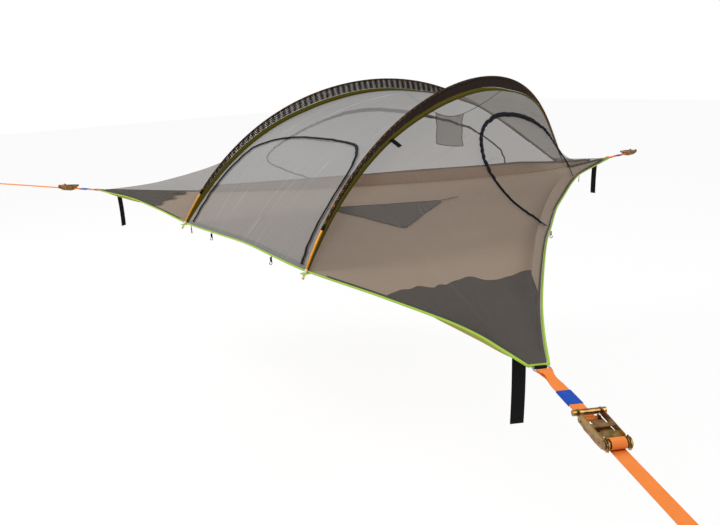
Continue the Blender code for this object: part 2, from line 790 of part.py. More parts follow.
def build_corner_covers():
    """Dark cloth over each floor corner, with a loose wavy edge towards the middle."""
    ground = surface_of("floor_panel")
    for corner in CORNER_ANGLES:
        rows = []
        for i in range(COVER_ROWS + 1):
            part = i / COVER_ROWS
            away = (COVER_SIDE_LENGTH * (1 - part) + COVER_TIP_LENGTH * part) / SIDE
            first, last = cover_edges(corner, away)
            across = unit(last - first)
            first, last = first + across * COVER_EDGE_INSET, last - across * COVER_EDGE_INSET
            row = []
            for j in range(COVER_COLUMNS + 1):
                q = j / COVER_COLUMNS
                place = first * (1 - q) + last * q
                loose = (1 - part) ** 4 * (1 - (2 * q - 1) ** 2)
                wave = COVER_LIFT + COVER_WAVE * sin(2 * pi * COVER_WAVES * q)
                seat = ground.ray_cast(Vector((place[0], place[1], FLOOR_SAG)), Vector((0, 0, -1)))[0]
                place[2] = seat.z + (FLOOR_THICKNESS + COVER_THICKNESS) / 2 + COVER_GAP + loose * wave
                row.append(place)
            rows.append(row)
        name = "corner_cover_" + corner
        cloth(name, grid_mesh(name, rows), COVER_THICKNESS, DARK_CLOTH)


def build_piping():
    out = PIPING_RADIUS + MESH_THICKNESS / 2 + CLOTH_GAP
    tube("edge_piping", edge_loop(out), PIPING_RADIUS, LIME_TAPE, cyclic=True, sides=1)


# Poles, sleeves, bindings and what holds the pole ends

def both_sides(name, build):
    """Builds the right hand piece, then its mirror image."""
    item = build(name + "_right")
    mesh = item.data.copy()
    mesh.transform(Matrix.Diagonal((-1, 1, 1, 1)))
    mesh.flip_normals()
    put(name + "_left", mesh, mesh.materials[0])


def fin_stations(first, last):
    """Shares along the pole where it bends with its sleeve and binding, between two shares."""
    return [first] + [row[0] for row in row_shares() if first < row[0] < last] + [last]


def as_built(line, share, shares):
    """A point on a line as it is built, straight between its points at the shares listed."""
    i = min(int(np.searchsorted(shares, share, side="right")) - 1, len(shares) - 2)
    part = (share - shares[i]) / (shares[i + 1] - shares[i])
    return line(shares[i]) * (1 - part) + line(shares[i + 1]) * part


def build_pole(name):
    shares = fin_stations(0, 1)
    points = [pole_point(share) for share in shares]
    radii = [POLE_TIP_SHARE] + [1] * (len(points) - 2) + [POLE_TIP_SHARE]
    item = tube(name, points, POLE_RADIUS, GOLD_POLE, radii=radii)
    item.data.shade_smooth()
    return item


def binding_height(share):
    return min(BINDING_HEIGHT, fin_depth(share) * BINDING_DEPTH_SHARE)


def build_binding(name):
    sections = []
    for share in fin_stations(row_shares()[1][0], BINDING_END_SHARE):
        _, up, across = pole_axes(share)
        base = seam_point(share) + up * BINDING_LIFT
        half = across * BINDING_THICKNESS / 2
        top = base + up * binding_height(share)
        sections.append([base - half, base + half, top + half, top - half])
    return loft(name, sections, OLIVE_CLOTH)


def build_sleeve(name):
    """Cloth folded over the pole and sewn down to the binding."""
    inner = POLE_RADIUS + SLEEVE_SLACK
    outer = inner + SLEEVE_CLOTH
    slit = SEAT_GAP
    open_outer, open_inner = (slit + SLEEVE_CLOTH) / outer, slit / inner
    over = arc((0, 0), outer, 1.5 * pi - open_outer, open_outer - pi / 2, 7)
    under = arc((0, 0), inner, open_inner - pi / 2, 1.5 * pi - open_inner, 7)
    sections = []
    for share in fin_stations(SLEEVE_START_SHARE, SLEEVE_END_SHARE):
        _, up, across = pole_axes(share)
        low = -(fin_depth(share) - BINDING_LIFT - binding_height(share) - CLOTH_GAP)
        flat = [(-slit - SLEEVE_CLOTH, low)] + over + [(slit + SLEEVE_CLOTH, low)]
        flat += [(slit, low)] + under + [(-slit, low)]
        centre = as_built(pole_point, share, fin_stations(0, 1))
        sections.append([centre + across * x + up * y for x, y in flat])
    return loft(name, sections, LACE_CLOTH)


def build_foot_tab(name):
    """Webbing tab with an eyelet, which the pole's tip stands in below the edge."""
    edge = edge_point("front", FOOT_SHARE)
    top = edge[2] - PIPING_RADIUS - SEAT_GAP
    share = 0.0
    while pole_point(share)[2] < top:
        share += SEARCH_STEP_SHARE
    through = Vector(pole_point(share))
    along = Vector(pole_axes(share)[0])
    low = top - TAB_THICKNESS
    half = TAB_WIDTH / 2
    plate = box((through.x - half, through.y - half, low), (through.x + half, edge[1] + TAB_TUCK, top))
    stand = Vector((0, 0, EYELET_STAND))
    ring = rod(EYELET_RADIUS, through - stand - Vector((0, 0, TAB_THICKNESS)), through + stand, 20)
    bore = rod(POLE_RADIUS + TAB_SLACK, through - along * TAB_WIDTH, through + along * TAB_WIDTH, 20)
    return put(name, combine(name, plate, joined=[ring], cut=[bore]), BLACK_WEBBING)


def build_tail_socket():
    """Two cups for the rear ends of the poles, on one bar."""
    along = Vector(pole_axes(1)[0])
    end = Vector(pole_point(1))
    flip = Matrix.Diagonal((-1, 1, 1, 1))
    cups, bores, floors = [], [], []
    for mirror in (Matrix.Identity(4), flip):
        place, way = mirror @ end, mirror @ along
        cups.append(rod(POLE_RADIUS + CUP_WALL, place - way * CUP_DEPTH, place + way * CUP_FLOOR))
        mouth = place - way * (CUP_DEPTH + CUT_OVERRUN)
        bores.append(rod(POLE_RADIUS + TAB_SLACK, mouth, place + way * SEAT_GAP))
        floors.append(place + way * (CUP_FLOOR - CUP_BAR_RADIUS))
    bar = rod(CUP_BAR_RADIUS, floors[0], floors[1], 10)
    mesh = combine("tail_socket", cups[0], joined=[cups[1], bar], cut=bores)
    put("tail_pole_socket", mesh, BLACK_PLASTIC)


def build_gear_pocket():
    """A flat pocket hung across the tent from the two pole seams by its top corners."""
    half, low = POCKET_WIDTH / 2, POCKET_TOP - POCKET_HEIGHT
    back, front = POCKET_REACH - POCKET_THICKNESS / 2, POCKET_REACH + POCKET_THICKNESS / 2
    share = 0.0
    while seam_point(share)[1] < POCKET_REACH:
        share += SEARCH_STEP_SHARE
    seam = Vector(as_built(seam_point, share, fin_stations(0, 1)))
    cords = []
    for side in (-1, 1):
        corner = Vector((side * (half - POCKET_CORD_RADIUS), POCKET_REACH, POCKET_TOP - POCKET_CORD_RADIUS))
        target = Vector((side * seam.x, seam.y, seam.z))
        way = (target - corner).normalized()
        cords.append(rod(POCKET_CORD_RADIUS, corner, target - way * POCKET_CORD_END, 8))
    panel = box((-half, back, low), (half, front, POCKET_TOP))
    put("gear_pocket", combine("gear_pocket", panel, joined=cords), DARK_CLOTH)


# Door zips, laid on the canopy

def net_point(net, row_share, column_share, rows, columns):
    """A point on part of the net. rows and columns are its (first, last) rows and columns."""
    i = rows[0] + (rows[1] - rows[0]) * row_share
    j = columns[0] + (columns[1] - columns[0]) * column_share
    a, b = min(int(i), rows[1] - 1), min(int(j), columns[1] - 1)
    u, v = i - a, j - b
    near = net[a, b] * (1 - v) + net[a, b + 1] * v
    far = net[a + 1, b] * (1 - v) + net[a + 1, b + 1] * v
    return near * (1 - u) + far * u


def smooth_line(points, count):
    """A smooth line through points, with count steps between each two."""
    points = [np.asarray(p, float) for p in points]
    line = []
    for i in range(len(points) - 1):
        before = points[max(i - 1, 0)]
        after = points[min(i + 2, len(points) - 1)]
        a, b = points[i], points[i + 1]
        for k in range(count):
            u = k / count
            line.append(
                a * (2 * u**3 - 3 * u**2 + 1) + b * (3 * u**2 - 2 * u**3)
                + (b - before) / 2 * (u**3 - 2 * u**2 + u) + (after - a) / 2 * (u**3 - u**2)
            )
    return line + [points[-1]]


def build_zips(net, pole_rows):
    right = SIDE_COLUMNS + ROOF_COLUMNS
    outer = (right, right + SIDE_COLUMNS)
    doors = (
        ("door_zip_front", FRONT_DOOR_SHARES, "roof_mesh", (SIDE_COLUMNS, right), 1, ()),
        ("door_zip_right", SIDE_DOOR_SHARES, "side_mesh_right", outer, 1, SIDE_DOOR_ROLL_SHARES),
        ("door_zip_left", SIDE_DOOR_SHARES, "side_mesh_left", outer, -1, SIDE_DOOR_ROLL_SHARES),
    )
    for name, shares, panel, columns, mirror, roll in doors:
        surface = surface_of(panel)
        line, radii = [], []
        for k, pair in enumerate(smooth_line(shares, ZIP_STEPS)):
            place = net_point(net, pair[0], pair[1], (0, pole_rows - 1), columns)
            place[0] *= mirror
            part = k / (ZIP_STEPS * (len(shares) - 1))
            thick = ROLL_RADIUS if roll and roll[0] < part < roll[1] else ZIP_RADIUS
            seat, normal, _, _ = surface.find_nearest(Vector(place))
            if normal.dot(seat) < 0:
                normal = -normal
            line.append(seat + normal * (MESH_THICKNESS / 2 + ZIP_LIFT + thick))
            radii.append(thick / ZIP_RADIUS)
        tube(name, line, ZIP_RADIUS, BLACK_WEBBING, sides=1, radii=radii).data.shade_smooth()


# Webbing, ring and hanging strap at each corner. In a strap's own frame X runs out along it, Y across, Z up.

def strap_frame(corner, along=0.0, lift=0.0):
    away, across = Vector(outward(corner)), Vector(sideways(corner))
    way = away * cos(STRAP_RISE) + Vector((0, 0, sin(STRAP_RISE)))
    up = way.cross(across)
    turn = Matrix((way, across, up)).transposed().to_4x4()
    return Matrix.Translation(away * CORNER_RADIUS + way * along + up * lift) @ turn


def build_corner_gear():
    leaf_top = -(PIPING_RADIUS + SEAT_GAP)
    leaf_low = leaf_top - WEBBING_THICKNESS
    hole = RING_WIRE + LOOP_SLACK
    eye = hole + WEBBING_THICKNESS
    near, far = RING_NEAR, RING_NEAR + RING_LENGTH
    half = WEBBING_WIDTH / 2
    loop_half = CORNER_LOOP_WIDTH / 2
    end_drop = -floor_height(0, CORNER_RADIUS - CORNER_LEAF_LENGTH)
    slope = end_drop / CORNER_LEAF_LENGTH - tan(STRAP_RISE)
    end = -CORNER_LEAF_LENGTH
    leaf = [(0, leaf_top), (end, leaf_top + slope * end), (end, leaf_low + slope * end)]
    leaf.append((near - eye / 2, leaf_low))
    leaf += arc((near, 0), eye, -pi / 3, pi * 1.1, 10) + [(near - eye, leaf_top)]
    leaf_mesh = outline_solid("webbing", [leaf, circle((near, 0), hole, 10)], -loop_half, loop_half)

    bend = []
    side = RING_HALF_WIDTH
    for x, y, first in ((far, side, 0), (near, side, 1), (near, -side, 2), (far, -side, 3)):
        cx = x - RING_BEND if x == far else x + RING_BEND
        cy = y - RING_BEND if y > 0 else y + RING_BEND
        bend += arc((cx, cy), RING_BEND, first * pi / 2, (first + 1) * pi / 2, 3)
    ring_mesh = tube("ring", [(x, y, 0) for x, y in bend], RING_WIRE, STEEL, cyclic=True, sides=1)

    bolt_hole = BOLT_RADIUS + LOOP_SLACK
    bolt_eye = bolt_hole + WEBBING_THICKNESS
    bolt = RATCHET_AT - BOLT_BACK
    band = WEBBING_THICKNESS
    open_near, open_far = atan2(band, eye), atan2(band, bolt_eye)
    strap = arc((far, 0), eye, open_near, 2 * pi - open_near, 10)
    strap += arc((bolt, 0), bolt_eye, open_far - pi, pi - open_far, 10)
    holes = [circle((far, 0), hole, 10), circle((bolt, 0), bolt_hole, 12)]
    strap_mesh = outline_solid("anchor", [strap] + holes, -half, half)

    round_top = HANGING_THICKNESS / 2
    drop = HANGING_LENGTH - round_top
    hang = arc((0, 0), round_top, 0, pi, 6) + [(-round_top, -drop), (round_top, -drop)]
    hang_mesh = outline_solid("hanging", [hang], -HANGING_WIDTH / 2, HANGING_WIDTH / 2)
    for corner in CORNER_ANGLES:
        frame = strap_frame(corner)
        put("corner_webbing_" + corner, leaf_mesh.copy(), BLACK_WEBBING, frame)
        put("corner_ring_" + corner, ring_mesh.data.copy(), STEEL, frame)
        put("anchor_strap_" + corner, strap_mesh.copy(), ORANGE_WEBBING, frame)
        pivot = frame @ Vector((-HANGING_INSET, 0, leaf_low - slope * HANGING_INSET - SEAT_GAP - round_top))
        upright = Matrix((outward(corner), sideways(corner), (0, 0, 1))).transposed().to_4x4()
        put("hanging_strap_" + corner, hang_mesh.copy(), BLACK_WEBBING, Matrix.Translation(pivot) @ upright)
    bpy.data.objects.remove(ring_mesh, do_unlink=True)


# Ratchets, the same at each corner

def polar(radius, turn):
    return radius * cos(turn), radius * sin(turn)


def frame_mesh():
    bolt = (-BOLT_BACK, -RATCHET_LIFT)
    back = BOLT_BACK - CHEEK_BOLT_RADIUS
    shoulder = CHEEK_SPINDLE_RADIUS + PAWL_TRAVEL - CHEEK_TOP_DROP / 2
    outline = arc((0, 0), CHEEK_SPINDLE_RADIUS, -pi / 3, pi * 0.92, 12)
    outline += [(-shoulder, -CHEEK_TOP_DROP), (-back, -CHEEK_TOP_DROP)]
    outline += arc(bolt, CHEEK_BOLT_RADIUS, pi / 2, 1.5 * pi, 8)[1:]
    outline.append((-BOLT_BACK * 0.4, -CHEEK_BELLY_DROP))
    outline.append((-BOLT_BACK * 0.16, BASE_PLATE_THICKNESS - CHEEK_BELLY_DROP))
    hole = circle((0, 0), JOURNAL_RADIUS + RUNNING_GAP, 14)
    half_slot = PAWL_THICKNESS / 2 + LOCK_SLOT_SLACK
    first = WHEEL_TIP_RADIUS
    last = WHEEL_TIP_RADIUS + LOCK_PAWL_LENGTH + PAWL_TRAVEL + 2 * RUNNING_GAP
    turn = pi + LOCK_PAWL_DIP
    slot = []
    for reach, across in ((first, -half_slot), (last, -half_slot), (last, half_slot), (first, half_slot)):
        slot.append((reach * cos(turn) - across * sin(turn), reach * sin(turn) + across * cos(turn)))
    outer = CHEEK_INNER + CHEEK_THICKNESS
    cheeks = [outline_solid("cheek", [outline, hole, slot], low, high)
              for low, high in ((-outer, -CHEEK_INNER), (CHEEK_INNER, outer))]
    plate_mid = BASE_PLATE_THICKNESS * 0.75 - CHEEK_BELLY_DROP
    plate = box((-BOLT_BACK * 0.88, -outer + CHEEK_THICKNESS / 2, plate_mid - BASE_PLATE_THICKNESS / 2),
                (-BOLT_BACK * 0.36, outer - CHEEK_THICKNESS / 2, plate_mid + BASE_PLATE_THICKNESS / 2))
    head_end = CHEEK_INNER + CHEEK_THICKNESS + WHEEL_GAP + WHEEL_THICKNESS
    pin = rod(BOLT_RADIUS, (bolt[0], -head_end, bolt[1]), (bolt[0], head_end, bolt[1]), 14)
    head_start = outer - CHEEK_THICKNESS / 2
    heads = []
    for side in (-1, 1):
        first, last = (bolt[0], side * head_start, bolt[1]), (bolt[0], side * head_end, bolt[1])
        heads.append(rod(BOLT_HEAD_RADIUS, first, last, 6))
    return combine("frame", cheeks[0], joined=[cheeks[1], plate, pin] + heads)


def drum_mesh():
    outer = CHEEK_INNER + CHEEK_THICKNESS
    barrel_end = CHEEK_INNER - RUNNING_GAP
    wheel_in = outer + WHEEL_GAP
    wheel_out = wheel_in + WHEEL_THICKNESS
    journal_end = wheel_out + ARM_THICKNESS + 2 * RUNNING_GAP
    teeth = []
    for i in range(WHEEL_TEETH):
        turn = 2 * pi * (i + 0.5) / WHEEL_TEETH + pi + LOCK_PAWL_DIP
        teeth += [polar(WHEEL_ROOT_RADIUS, turn), polar(WHEEL_TIP_RADIUS, turn + pi / WHEEL_TEETH * 0.15)]
        teeth += [polar(WHEEL_TIP_RADIUS, turn + pi / WHEEL_TEETH * 0.5)]
    wheels = [outline_solid("wheel", [teeth], low, high)
              for low, high in ((-wheel_out, -wheel_in), (wheel_in, wheel_out))]
    barrel = rod(DRUM_RADIUS, (0, -barrel_end, 0), (0, barrel_end, 0), 16)
    spindle_end = journal_end + SPINDLE_HEAD_LENGTH / 2
    spindle = rod(JOURNAL_RADIUS, (0, -spindle_end, 0), (0, spindle_end, 0), 10)
    head_end = journal_end + SPINDLE_HEAD_LENGTH
    heads = []
    for side in (-1, 1):
        heads.append(rod(SPINDLE_HEAD_RADIUS, (0, side * journal_end, 0), (0, side * head_end, 0), 12))
    slot_half = WEBBING_WIDTH / 2 + PAWL_THICKNESS / 2
    through = DRUM_RADIUS + CUT_OVERRUN
    slot = box((-through, -slot_half, -DRUM_SLOT / 2), (through, slot_half, DRUM_SLOT / 2))
    return combine("drum", barrel, joined=[spindle] + wheels + heads, cut=[slot])


def handle_mesh():
    """Lies along -X from the spindle, level."""
    inner = CHEEK_INNER + CHEEK_THICKNESS + WHEEL_GAP + WHEEL_THICKNESS + RUNNING_GAP
    outer = inner + ARM_THICKNESS
    half = ARM_HALF_HEIGHT
    meet = pi - atan2(half, sqrt(ARM_SPINDLE_RADIUS**2 - half**2))
    outline = arc((0, 0), ARM_SPINDLE_RADIUS, -meet, meet, 10)
    outline += arc((-HANDLE_LENGTH, 0), ARM_END_RADIUS, pi / 2, 1.5 * pi, 8)
    hole = circle((0, 0), JOURNAL_RADIUS + RUNNING_GAP, 14)
    sides = (-outer, -inner), (inner, outer)
    arms = [outline_solid("arm", [outline, hole], low, high) for low, high in sides]
    grip = rod(GRIP_RADIUS, (-HANDLE_LENGTH, -GRIP_HALF_WIDTH, 0), (-HANDLE_LENGTH, GRIP_HALF_WIDTH, 0), 12)
    reach = inner + ARM_THICKNESS / 2
    brace = box((-BRACE_BACK, -reach, BRACE_LIFT - BRACE_THICKNESS / 2),
                (BRACE_LENGTH - BRACE_BACK, reach, BRACE_LIFT + BRACE_THICKNESS / 2))
    return combine("handle", arms[0], joined=[arms[1], grip, brace])


def drive_pawl_mesh():
    """A plate across both wheels with a narrower tongue and a thumb bar behind it."""
    reach = CHEEK_INNER + CHEEK_THICKNESS + WHEEL_GAP + WHEEL_THICKNESS
    first = WHEEL_TIP_RADIUS + RUNNING_GAP
    last, end, narrow = first + DRIVE_PAWL_LENGTH, DRIVE_TONGUE_BACK, DRIVE_TONGUE_HALF_WIDTH
    outline = [(-first, -reach), (-first, reach), (-last, reach), (-last, narrow)]
    outline += [(-end, narrow), (-end, -narrow), (-last, -narrow), (-last, -reach)]
    plate = outline_solid("drive_pawl", [outline], -PAWL_THICKNESS / 2, PAWL_THICKNESS / 2, upright=False)
    bar = rod(DRIVE_TONGUE_BAR, (-end, -narrow, 0), (-end, narrow, 0), 10)
    return combine("drive_pawl", plate, joined=[bar])


def lock_pawl_mesh():
    reach = CHEEK_INNER + CHEEK_THICKNESS + WHEEL_GAP + WHEEL_THICKNESS
    first = WHEEL_TIP_RADIUS + RUNNING_GAP
    half = PAWL_THICKNESS / 2
    return box((-first - LOCK_PAWL_LENGTH, -reach, -half), (-first, reach, half))


def build_ratchets():
    meshes = {
        "frame": (frame_mesh(), YELLOW_ZINC, 0),
        "drum": (drum_mesh(), YELLOW_ZINC, 0),
        "handle": (handle_mesh(), YELLOW_ZINC, HANDLE_REST),
        "drive_pawl": (drive_pawl_mesh(), YELLOW_ZINC, HANDLE_REST),
        "lock_pawl": (lock_pawl_mesh(), YELLOW_ZINC, -LOCK_PAWL_DIP),
    }
    for corner in CORNER_ANGLES:
        base = strap_frame(corner, RATCHET_AT, RATCHET_LIFT)
        for name, (mesh, finish, turn) in meshes.items():
            put("ratchet_" + name + "_" + corner, mesh.copy(), finish, base @ Matrix.Rotation(turn, 4, "Y"))


def build_long_straps():
    """Strap wound on the drum, then out below it to a sewn loop at its end."""
    half = WEBBING_THICKNESS / 2
    first = DRUM_RADIUS + SEAT_GAP + half
    pitch = WEBBING_THICKNESS + STRAP_TURN_GAP
    count = ceil(STRAP_TURNS * 20)
    turns = [STRAP_TURNS * (1 - i / count) for i in range(count + 1)]
    for corner, reach in STRAP_REACH.items():
        sides = []
        for offset in (half, -half):
            wound = []
            for turn in turns:
                wound.append(polar(first + pitch * turn + offset, -pi / 2 - 2 * pi * (STRAP_TURNS - turn)))
            sides.append(wound)
        level = -(first + pitch * STRAP_TURNS)
        end = reach - RATCHET_AT
        sewn = end - EYE_LENGTH - EYE_SEWN_LENGTH
        open_half = EYE_OPENING / 2
        middle = end - EYE_LENGTH / 2
        low = [(sewn, level - half), (sewn + half, level - 2 * half), (end - EYE_LENGTH, level - 2 * half)]
        low += [(middle, level - open_half - 2 * half)]
        nose = arc((end - open_half, level), open_half, -pi / 3, pi / 3, 6)
        high = [(x, 2 * level - z) for x, z in reversed(low)]
        outline = low + nose + high + sides[1] + list(reversed(sides[0]))
        hole = [(end - EYE_LENGTH + half, level), (middle, level - open_half)]
        inner = arc((end - open_half, level), open_half - 2 * half, -pi / 3, pi / 3, 6)
        hole += inner + [(middle, level + open_half)]
        width = WEBBING_WIDTH / 2
        mesh = outline_solid("long_strap", [outline, hole], -width, width)
        put("long_strap_" + corner, mesh, ORANGE_WEBBING, strap_frame(corner, RATCHET_AT, RATCHET_LIFT))


# Zip pulls and hooks that hang from the edge

def hang_place(side, share, mirror):
    """Pivot under the piping, with X along the edge and Z up."""
    near, far = share - SLOPE_STEP_SHARE, share + SLOPE_STEP_SHARE
    out = PIPING_RADIUS + MESH_THICKNESS / 2 + CLOTH_GAP
    place = as_built(lambda where: edge_point(side, where, out), share, edge_stations(side))
    along = unit((edge_point(side, far) - edge_point(side, near)) * [1, 1, 0])
    frame = np.array([along, np.cross((0, 0, 1), along), (0, 0, 1)]).T
    if mirror:
        place = place * [-1, 1, 1]
        frame = np.diag((-1, 1, 1)) @ frame @ np.diag((-1, 1, 1))
    drop = Vector((0, 0, PIPING_RADIUS + SEAT_GAP + PIVOT_RADIUS))
    return Matrix.Translation(Vector(place) - drop) @ Matrix(frame.tolist()).to_4x4()


def ball(radius):
    body = bmesh.new()
    bmesh.ops.create_uvsphere(body, u_segments=8, v_segments=6, radius=radius)
    mesh = bpy.data.meshes.new("ball")
    body.to_mesh(mesh)
    body.free()
    return mesh


def pull_mesh():
    half, thick = PULL_WIDTH / 2, PULL_THICKNESS / 2
    neck = PIVOT_RADIUS * 0.5
    right = [(neck, 0), (neck, -PULL_WIDTH), (half, -1.6 * PULL_WIDTH), (half, -PULL_LENGTH + half)]
    right.append((neck, -PULL_LENGTH))
    outline = right + [(-x, z) for x, z in reversed(right)]
    return combine("pull", outline_solid("pull", [outline], -thick, thick), joined=[ball(PIVOT_RADIUS)])


def hook_mesh():
    """A J hook that opens outwards, bent in the plane square to the edge."""
    points = [(0, 0, 0), (0, 0, -HOOK_SHANK)]
    points += [(0, HOOK_BEND * (cos(turn) - 1), -HOOK_SHANK + HOOK_BEND * sin(turn)) for turn in
               [-pi * i / 8 for i in range(1, 9)]]
    points += [(0, -2 * HOOK_BEND, HOOK_BEND - HOOK_SHANK)]
    item = tube("hook", points, HOOK_WIRE, BLACK_PLASTIC, sides=1)
    mesh = item.data.copy()
    bpy.data.objects.remove(item, do_unlink=True)
    return combine("hook", mesh, joined=[ball(PIVOT_RADIUS)])


def build_pulls_and_hooks():
    pull, hook = pull_mesh(), hook_mesh()
    for name, (side, share, mirror) in PULL_PLACES_SHARES.items():
        put("zip_pull_" + name, pull.copy(), BLACK_WEBBING, hang_place(side, share, mirror))
    for name, (side, share, mirror) in HOOK_PLACES_SHARES.items():
        put("fly_hook_" + name, hook.copy(), BLACK_PLASTIC, hang_place(side, share, mirror))


clear_scene()
canopy, pole_row_count = build_canopy()
build_floor()
build_hatch()
build_corner_covers()
build_piping()
both_sides("pole", build_pole)
both_sides("sleeve", build_sleeve)
both_sides("seam_binding", build_binding)
both_sides("pole_foot_tab", build_foot_tab)
build_tail_socket()
build_gear_pocket()
build_zips(canopy, pole_row_count)
build_corner_gear()
build_ratchets()
build_long_straps()
build_pulls_and_hooks()
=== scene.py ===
# The looks of the tree tent: cloth, webbing, zips, poles and ratchets around the fixed frame.
# Metres, in the frame's own axes: +Z up, corner A front left, B the tail on +Y, C front right.

from math import atan2, cos, degrees, pi, radians, sin, sqrt, tan

import bmesh
import bpy
import numpy as np
from mathutils import Matrix, Vector, noise


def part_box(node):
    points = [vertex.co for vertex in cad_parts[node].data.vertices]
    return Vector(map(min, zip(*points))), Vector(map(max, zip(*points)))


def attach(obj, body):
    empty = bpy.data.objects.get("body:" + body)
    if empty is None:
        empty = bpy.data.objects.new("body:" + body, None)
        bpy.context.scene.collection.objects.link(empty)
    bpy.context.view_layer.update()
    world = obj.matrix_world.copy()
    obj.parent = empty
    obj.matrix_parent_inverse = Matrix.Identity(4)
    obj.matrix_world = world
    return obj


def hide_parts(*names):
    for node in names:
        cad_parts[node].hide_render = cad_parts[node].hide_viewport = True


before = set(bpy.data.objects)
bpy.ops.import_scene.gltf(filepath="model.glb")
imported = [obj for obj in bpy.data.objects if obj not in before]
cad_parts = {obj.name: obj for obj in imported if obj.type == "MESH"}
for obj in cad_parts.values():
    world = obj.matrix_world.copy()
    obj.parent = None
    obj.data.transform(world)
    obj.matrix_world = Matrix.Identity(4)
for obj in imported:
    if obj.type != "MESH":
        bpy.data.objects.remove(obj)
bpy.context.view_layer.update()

# The picture, and the camera that took it
PICTURE_WIDTH = 720
FOCAL_PIXELS = 635.37
SENSOR = 36
CAMERA_PLACE = (3.05687, -2.5402, 0.81647)
CAMERA_YAW = 2.50196
CAMERA_PITCH = 0.29575
CAMERA_ROLL = -0.04473

# Plan and heights, as the frame has them
SIDE = 4.1
CORNER_RADIUS = SIDE / sqrt(3)
CORNER_END_WIDTH = 0.052
CORNER_ANGLES = {"a": radians(210), "b": radians(90), "c": radians(-30)}
FLOOR_SAG = 0.066
FLOOR_BOWL_POWER = 1.5
FLOOR_FLAT_RADIUS = 0.58
SIDE_EDGE_BOW = 0.228
FRONT_EDGE_BOW = 0.17
SIDE_BOW_SHARES = [
    (0, 0), (0.06, 0.19), (0.14, 0.4), (0.27, 0.66), (0.38, 0.84), (0.45, 0.9), (0.57, 1), (0.65, 0.985),
    (0.73, 0.955), (0.79, 0.915), (0.85, 0.82), (0.88, 0.7), (0.92, 0.48), (0.96, 0.25), (1, 0),
]
FRONT_BOW_HALF_SHARES = [
    (0, 0), (0.03, 0.26), (0.066, 0.55), (0.11, 0.735), (0.2, 0.825), (0.24, 0.815), (0.286, 0.775),
    (0.331, 0.747), (0.37, 0.785), (0.425, 0.89), (0.5, 1),
]
FRONT_BOW_SHARES = FRONT_BOW_HALF_SHARES + [(1 - x, y) for x, y in reversed(FRONT_BOW_HALF_SHARES[:-1])]
HATCH_RADIUS = 0.46
HATCH_TIP_ROUND = 0.03
HATCH_BOTTOM = -0.0642
POLE_RADIUS = 0.0055
POLE_FOOT_SPREAD = 0.6987
POLE_FOOT_STANDOFF = 0.0345
POLE_TIP_DROP = 0.031
POLE_CROWN_HEIGHT = 0.739
POLE_REAR = (0.032, 1.737, 0.05)
POLE_SPREAD_SHARES = [1, 0.89, 0.854, 0.643, 0.434]
POLE_RUN_SHARES = [0, 0.147, 0.358, 0.686, 0.756]
POLE_HEIGHT_SHARES = [0.851, 1.148, 1.239, 0.785]
FOOT_SHARE = 0.5 + 0.695 / SIDE
CANOPY_LIFT = 0.0024
TAIL_ROW_SHARE = 0.84
CORNER_ROW_SHARE = 0.3
FRONT_ROWS, SIDE_ROWS, TAIL_ROWS = 6, 15, 5
POLE_ROWS = FRONT_ROWS + 1 + SIDE_ROWS
FIN_DEPTH = 0.084
FIN_END_DEPTH = 0.016
FIN_SWELL_POWER = 0.6
SEAM_START_SHARE = 0.05
LACE_DEPTH_SHARES = [
    (0, 0.7), (0.08, 0.73), (0.15, 0.8), (0.24, 0.88), (0.32, 1), (0.4, 1), (0.5, 0.92), (0.6, 0.84), (0.65, 0.68),
    (0.7, 0.49), (0.77, 0.22), (0.83, 0.1), (1, 0.08),
]
BINDING_HEIGHTS = [(0, 0.025), (0.4, 0.025), (0.5, 0.02), (0.62, 0.007), (0.84, 0.004), (1, 0.003)]
STRAP_RISE = radians(1.2)
WEBBING_WIDTH = 0.036
WEBBING_THICKNESS = 0.002
RATCHET_AT = 0.43
RATCHET_LIFT = 0.0105

# The finer net that the cloth is made on
ROW_STEPS = 3
SIDE_COLUMNS = 14
ROOF_COLUMNS = 12
COLUMN_STEPS = 2
POLE_END_ROW = POLE_ROWS * ROW_STEPS
LAST_COLUMN = 2 * SIDE_COLUMNS + ROOF_COLUMNS
ROOF_SPAN = (SIDE_COLUMNS, SIDE_COLUMNS + ROOF_COLUMNS)
SIDE_SPAN = (SIDE_COLUMNS + ROOF_COLUMNS, LAST_COLUMN)


# Numbers, lines and directions

def srgb(red, green, blue):
    """A colour as it looks in the picture, from 0 to 255, as the numbers that light works in."""
    shares = [value / 255 for value in (red, green, blue)]
    return (*(s / 12.92 if s <= 0.04045 else ((s + 0.055) / 1.055) ** 2.4 for s in shares), 1)


def read(table, share):
    return float(np.interp(share, *zip(*table)))


def smooth_read(table, share):
    xs, ys = zip(*table)
    i = min(max(int(np.searchsorted(xs, share, side="right")) - 1, 0), len(xs) - 2)

    def slope(k):
        low, high = max(k - 1, 0), min(k + 1, len(xs) - 1)
        return (ys[high] - ys[low]) / (xs[high] - xs[low])

    width = xs[i + 1] - xs[i]
    return bend(ys[i], ys[i + 1], width * slope(i), width * slope(i + 1), (share - xs[i]) / width)


def bend(first, last, first_slope, last_slope, u):
    """The smooth line between two values with given slopes, at share u of the way."""
    rise = first * (2 * u**3 - 3 * u**2 + 1) + last * (3 * u**2 - 2 * u**3)
    return rise + first_slope * (u**3 - 2 * u**2 + u) + last_slope * (u**3 - u**2)


def finer(grid, count):
    """The same surface with count times as many rows, along smooth lines."""
    grid = np.asarray(grid, float)
    before = np.concatenate([2 * grid[:1] - grid[1:2], grid[:-1]])
    after = np.concatenate([grid[1:], 2 * grid[-1:] - grid[-2:-1]])
    slope = (after - before) / 2
    rows = [bend(grid[i], grid[i + 1], slope[i], slope[i + 1], k / count)
            for i in range(len(grid) - 1) for k in range(count)]
    return np.array(rows + [grid[-1]])


